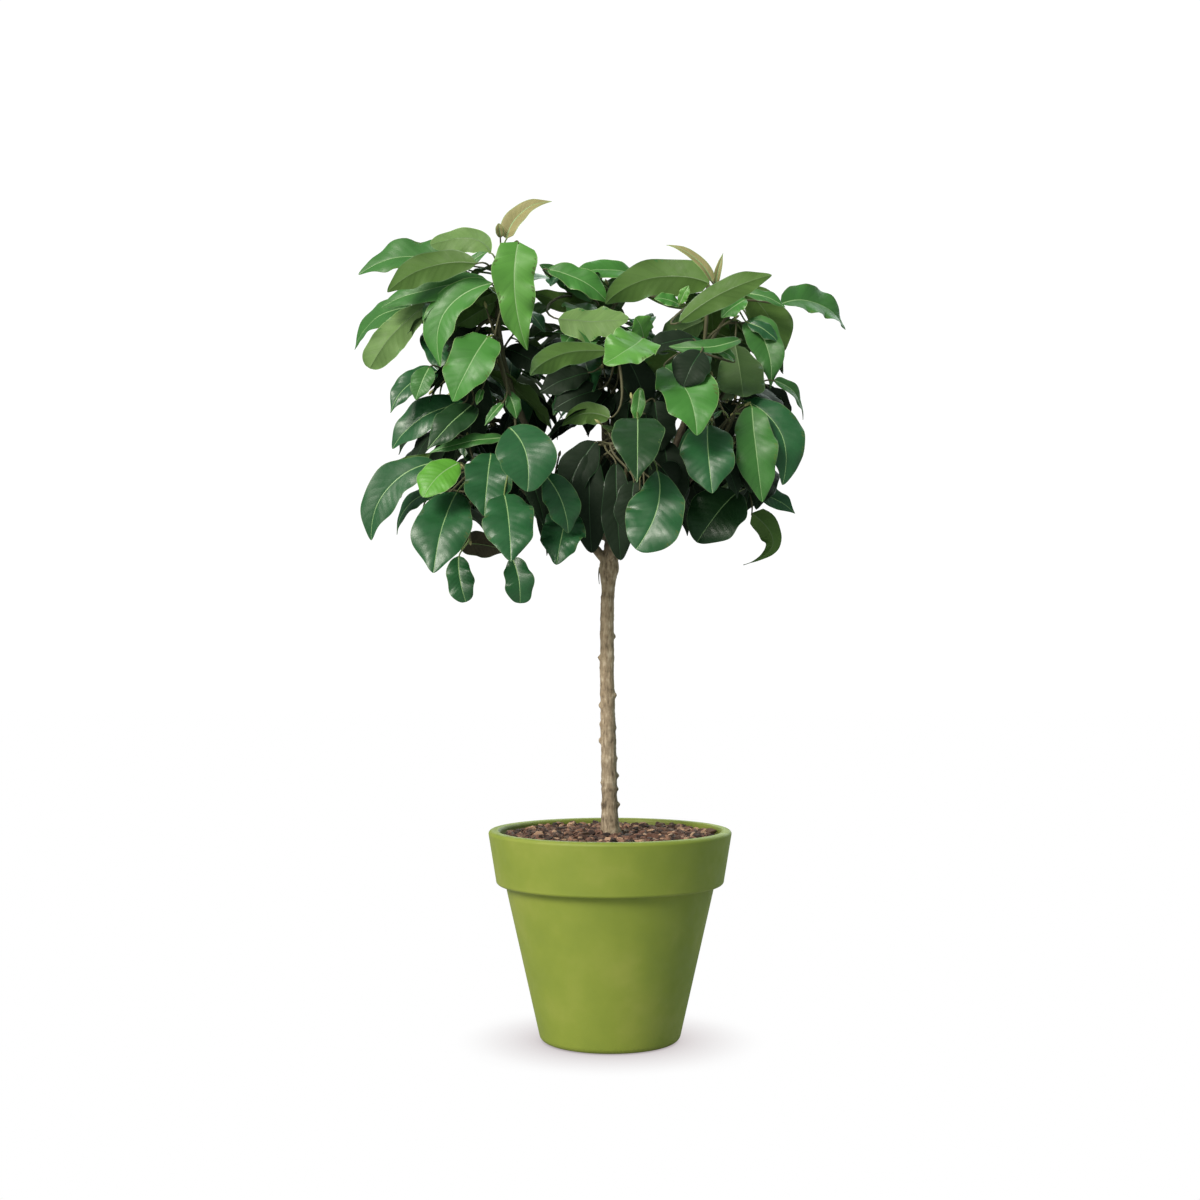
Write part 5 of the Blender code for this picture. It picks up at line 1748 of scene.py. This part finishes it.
CHIP_TRIES = 2900
CHIP_SIZES = (0.0036, 0.0082)
LARGE_CHIPS = 0.2  # as a share of all
LARGE_CHIP = 1.35
CHIP_SLIMNESS = (0.34, 0.80)
CHIP_THICKNESSES = (0.0014, 0.0032)
CHIP_CORNERS = 6
CHIP_TILT = 46.0
STEEPEST_CHIP = 80.0
CHIP_RESTS = (-0.0040, 0.0045)  # how high its lowest point lies over the potting mix
HIGHEST_CHIP = 0.009
CHIP_SHARES = (4, 4, 3, 5, 2.2, 3)  # of the six colours
# A chip's outline from its underside up: its scale, and its height as a share of half the thickness
CHIP_LEVELS = ((0.02, -1.0), (0.94, -1.0), (1.0, 0.3), (0.86, 1.0), (0.02, 1.0))
STREWN_RADIUS = 0.178
MULCH_RADII = (0.0165, 0.1765)  # from the stem to the pot's wall


def make_mulch(materials):
    """Bark chips strewn over the potting mix, some lying flat and some on edge."""
    rng = random.Random(SEED)
    batch = Batch()
    quads = ring_quads(len(CHIP_LEVELS), CHIP_CORNERS)
    for _ in range(CHIP_TRIES):
        size = rng.uniform(*CHIP_SIZES) * (LARGE_CHIP if rng.random() < LARGE_CHIPS else 1.0)
        away = math.sqrt(rng.uniform(0.0, 1.0)) * STREWN_RADIUS
        around = rng.uniform(0.0, 2 * math.pi)
        if away < MULCH_RADII[0] or away + size * 0.8 > MULCH_RADII[1]:
            continue
        slim = rng.uniform(*CHIP_SLIMNESS)
        thick = rng.uniform(*CHIP_THICKNESSES)
        turns = [2 * math.pi * (k + rng.uniform(-0.3, 0.3)) / CHIP_CORNERS for k in range(CHIP_CORNERS)]
        reach = [size * rng.uniform(0.75, 1.1) for _ in range(CHIP_CORNERS)]
        flat = np.array([(r * math.cos(t), slim * r * math.sin(t), 0.0) for r, t in zip(reach, turns)])
        shape = np.concatenate([flat * scale + UP * (level * thick) for scale, level in CHIP_LEVELS])
        yaw = rng.uniform(0.0, 2 * math.pi)
        tilt = math.radians(min(STEEPEST_CHIP, abs(rng.gauss(0.0, CHIP_TILT))))
        one, two = direction(yaw, 0.0), direction(yaw + math.pi / 2, 0.0)
        axis = math.cos(tilt) * two + math.sin(tilt) * UP
        third = np.cross(one, axis)
        shape = shape[:, :1] * one + shape[:, 1:2] * axis + shape[:, 2:] * third
        rest = SOIL_TOP - shape[:, 2].min() + rng.uniform(*CHIP_RESTS)
        centre = away * direction(around, 0.0) + UP * min(rest, SOIL_TOP + HIGHEST_CHIP)
        batch.add(shape + centre, quads, rng.choices(range(len(materials)), CHIP_SHARES)[0])
    return batch.build("bark_mulch", materials, is_smooth=False)


# ---- the plant ----


def make_plant():
    paths = {}
    limb_meshes = [trunk_mesh()]
    for bough in BOUGHS:
        paths[bough.name] = bough_path(bough, paths)
        limb_meshes.append(bough_mesh(bough, paths[bough.name]))
    limbs = make_limbs(paths, bark_material())
    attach(limbs, "root")
    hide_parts("trunk", *[bough.name for bough in BOUGHS])

    foliage = Foliage(limb_meshes)
    twigs = {mass.name: twig_paths(mass, paths) for mass in MASSES}
    for name, found in twigs.items():
        foliage.whole[name] += [skin_of(tube(*twig, TWIG_SIDES)) for twig in found]
    named = {mass.name: grow_named(foliage, mass, twigs[mass.name]) for mass in MASSES}
    ruled = {mass.name: grow_ruled(foliage, mass, twigs[mass.name]) for mass in MASSES}
    extra = grow_extra(twigs)
    leaves = {mass.name: refine(foliage, mass, named[mass.name]) + extra[mass.name] for mass in MASSES}
    nearest = front_map([leaf for found in leaves.values() for leaf in found])
    finishes = foliage_materials(), twig_materials()
    for mass in MASSES:
        rng = random.Random(f"{SEED} detail {mass.name}")
        turned = [turned_away(foliage, mass, leaf, nearest, rng) for leaf in ruled[mass.name]]
        kept = [leaf for leaf in turned if leaf]
        bough_end = [part[BOUGH_RINGS // 3 :] for part in paths[mass.bough]]
        limb = (*bough_end, np.full(len(bough_end[0]), BOUGH_TIP_RADIUS), BOUGH_SHARES)
        stems = [(*twig, TWIGLET_SHARES) for twig in twigs[mass.name]] + [limb]
        twiglets, small = grow_fine(foliage, mass, stems, nearest)
        sizes = ((leaves[mass.name], LARGE), (kept, MIDDLE), (small, SMALL))
        add_mass(mass, sizes, twigs[mass.name] + twiglets, finishes, rng)


def add_mass(mass, sizes, twigs, finishes, rng):
    """The two pieces of a mass: its blades, and its twigs with stalks and buds."""
    blades = Batch()
    wood = Batch()
    for leaves, grid in sizes:
        for leaf in leaves:
            add_blade(blades, leaf, grid, rng)
            add_stalk(wood, leaf)
    for points, tangents, radii in twigs:
        add_twig(wood, points, radii, rng)
        add_bud(wood, points[-1] - BUD_SINK * tangents[-1], tangents[-1])
    if mass.name == PEEL_MASS:
        add_peel(wood)
    place = mass.name.replace("foliage_", "")
    for batch, kind, materials in zip((blades, wood), ("leaves_", "twigs_"), finishes):
        piece = batch.build(kind + place, materials)
        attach(piece, "root")
        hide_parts(mass.name)


def make_container():
    # The inner wall's copy, darkened to 0.70, is painted shade.
    pot = make_pot(pot_material("pot_plastic_matte"), pot_material("pot_plastic_inside", 0.70))
    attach(pot, "root")
    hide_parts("pot")
    soil = frame["nodes"]["potting_soil"]
    soil.data.materials.clear()
    soil.data.materials.append(soil_material())
    mulch = make_mulch(chip_materials())
    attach(mulch, "root")


# ---- floor, light and camera ----


FLOOR_REACH = 14.0
FLOOR_LINES = 9
# The suns: name, the way it shines, strength, colour and its angle across in degrees
SUNS = (
    ("key", (0.52, 0.64, -0.57), 3.8, (1.0, 0.95, 0.86), 25),
    ("front", (0.60, 0.78, -0.12), 0.8, (1.0, 0.95, 0.85), 30),
    ("rim", (-0.30, -0.75, -0.60), 1.9, (0.90, 1.0, 0.95), 60),
)
# The photo's camera: its lens over its sensor in mm, and its pitch up
LENS, SENSOR = 53.55, 36.0
PITCH = math.atan(40 / 1785)


def show_apart(owner, lit, seen, surface):
    """The camera sees one shader, and everything else is lit by the other."""
    path = node(owner, "ShaderNodeLightPath")
    mix = node(owner, "ShaderNodeMixShader")
    link(owner, path.outputs["Is Camera Ray"], mix.inputs[0])
    link(owner, lit.outputs[0], mix.inputs[1])
    link(owner, seen.outputs[0], mix.inputs[2])
    link(owner, mix.outputs[0], surface)


def make_floor():
    """A pale floor that glows for the camera, with painted shadow round the pot's foot taken from ambient
    occlusion.
    """
    batch = Batch()
    steps = np.linspace(-FLOOR_REACH, FLOOR_REACH, FLOOR_LINES)
    points = np.array([(x, y, -0.0005) for y in steps for x in steps])
    index = np.arange(FLOOR_LINES**2).reshape(FLOOR_LINES, FLOOR_LINES)
    corners = (index[:-1, :-1], index[:-1, 1:], index[1:, 1:], index[1:, :-1])
    batch.add(points, np.stack(corners, axis=-1).reshape(-1, 4), 0)
    material, _ = new_material("studio_floor", (0.9, 0.9, 0.9), 0.9)
    near = node(material, "ShaderNodeAmbientOcclusion", Distance=0.16)
    seen = node(material, "ShaderNodeEmission", Strength=1.0)
    # Ambient occlusion darkens the glow near the pot: painted contact shadow.
    glow_with_painted_shadow = ramp_colour(material, None, near.outputs["AO"], (
        (0.10, (0.42, 0.38, 0.385)), (0.50, (0.70, 0.66, 0.665)), (0.92, (1.0, 1.0, 1.0))))
    link(material, glow_with_painted_shadow, seen.inputs["Color"])
    dim = node(material, "ShaderNodeBsdfDiffuse", Color=(0.40, 0.40, 0.40, 1.0))
    show_apart(material, dim, seen, material.node_tree.nodes["Material Output"].inputs["Surface"])
    batch.build("studio_floor", [material])


def make_world():
    """White behind everything, and a dimmer, cooler sky that lights it."""
    world = bpy.data.worlds.new("studio")
    bpy.context.scene.world = world
    world.use_nodes = True
    world.node_tree.nodes.clear()
    seen = node(world, "ShaderNodeBackground", Color=(1.0, 1.0, 1.0, 1.0), Strength=1.05)
    lit = node(world, "ShaderNodeBackground", Color=(0.74, 1.0, 0.86, 1.0), Strength=0.38)
    show_apart(world, lit, seen, node(world, "ShaderNodeOutputWorld").inputs["Surface"])


def add_sun(name, towards, strength, colour, angle):
    lamp = bpy.data.lights.new(name, "SUN")
    lamp.energy = strength
    lamp.color = colour
    lamp.angle = math.radians(angle)
    placed(name, lamp).rotation_euler = Vector(towards).to_track_quat("-Z", "Y").to_euler()


def make_camera():
    camera = bpy.data.cameras.new("camera")
    camera.sensor_width = SENSOR
    camera.lens = LENS
    obj = placed("camera", camera)
    obj.location = EYE
    obj.rotation_euler = (math.pi / 2 + PITCH, 0.0, 0.0)
    bpy.context.scene.camera = obj


def main():
    make_container()
    make_plant()
    make_floor()
    make_world()
    for sun in SUNS:
        add_sun(*sun)
    make_camera()
    bpy.context.scene.view_settings.view_transform = "Standard"


main()
bpy.context.view_layer.update()
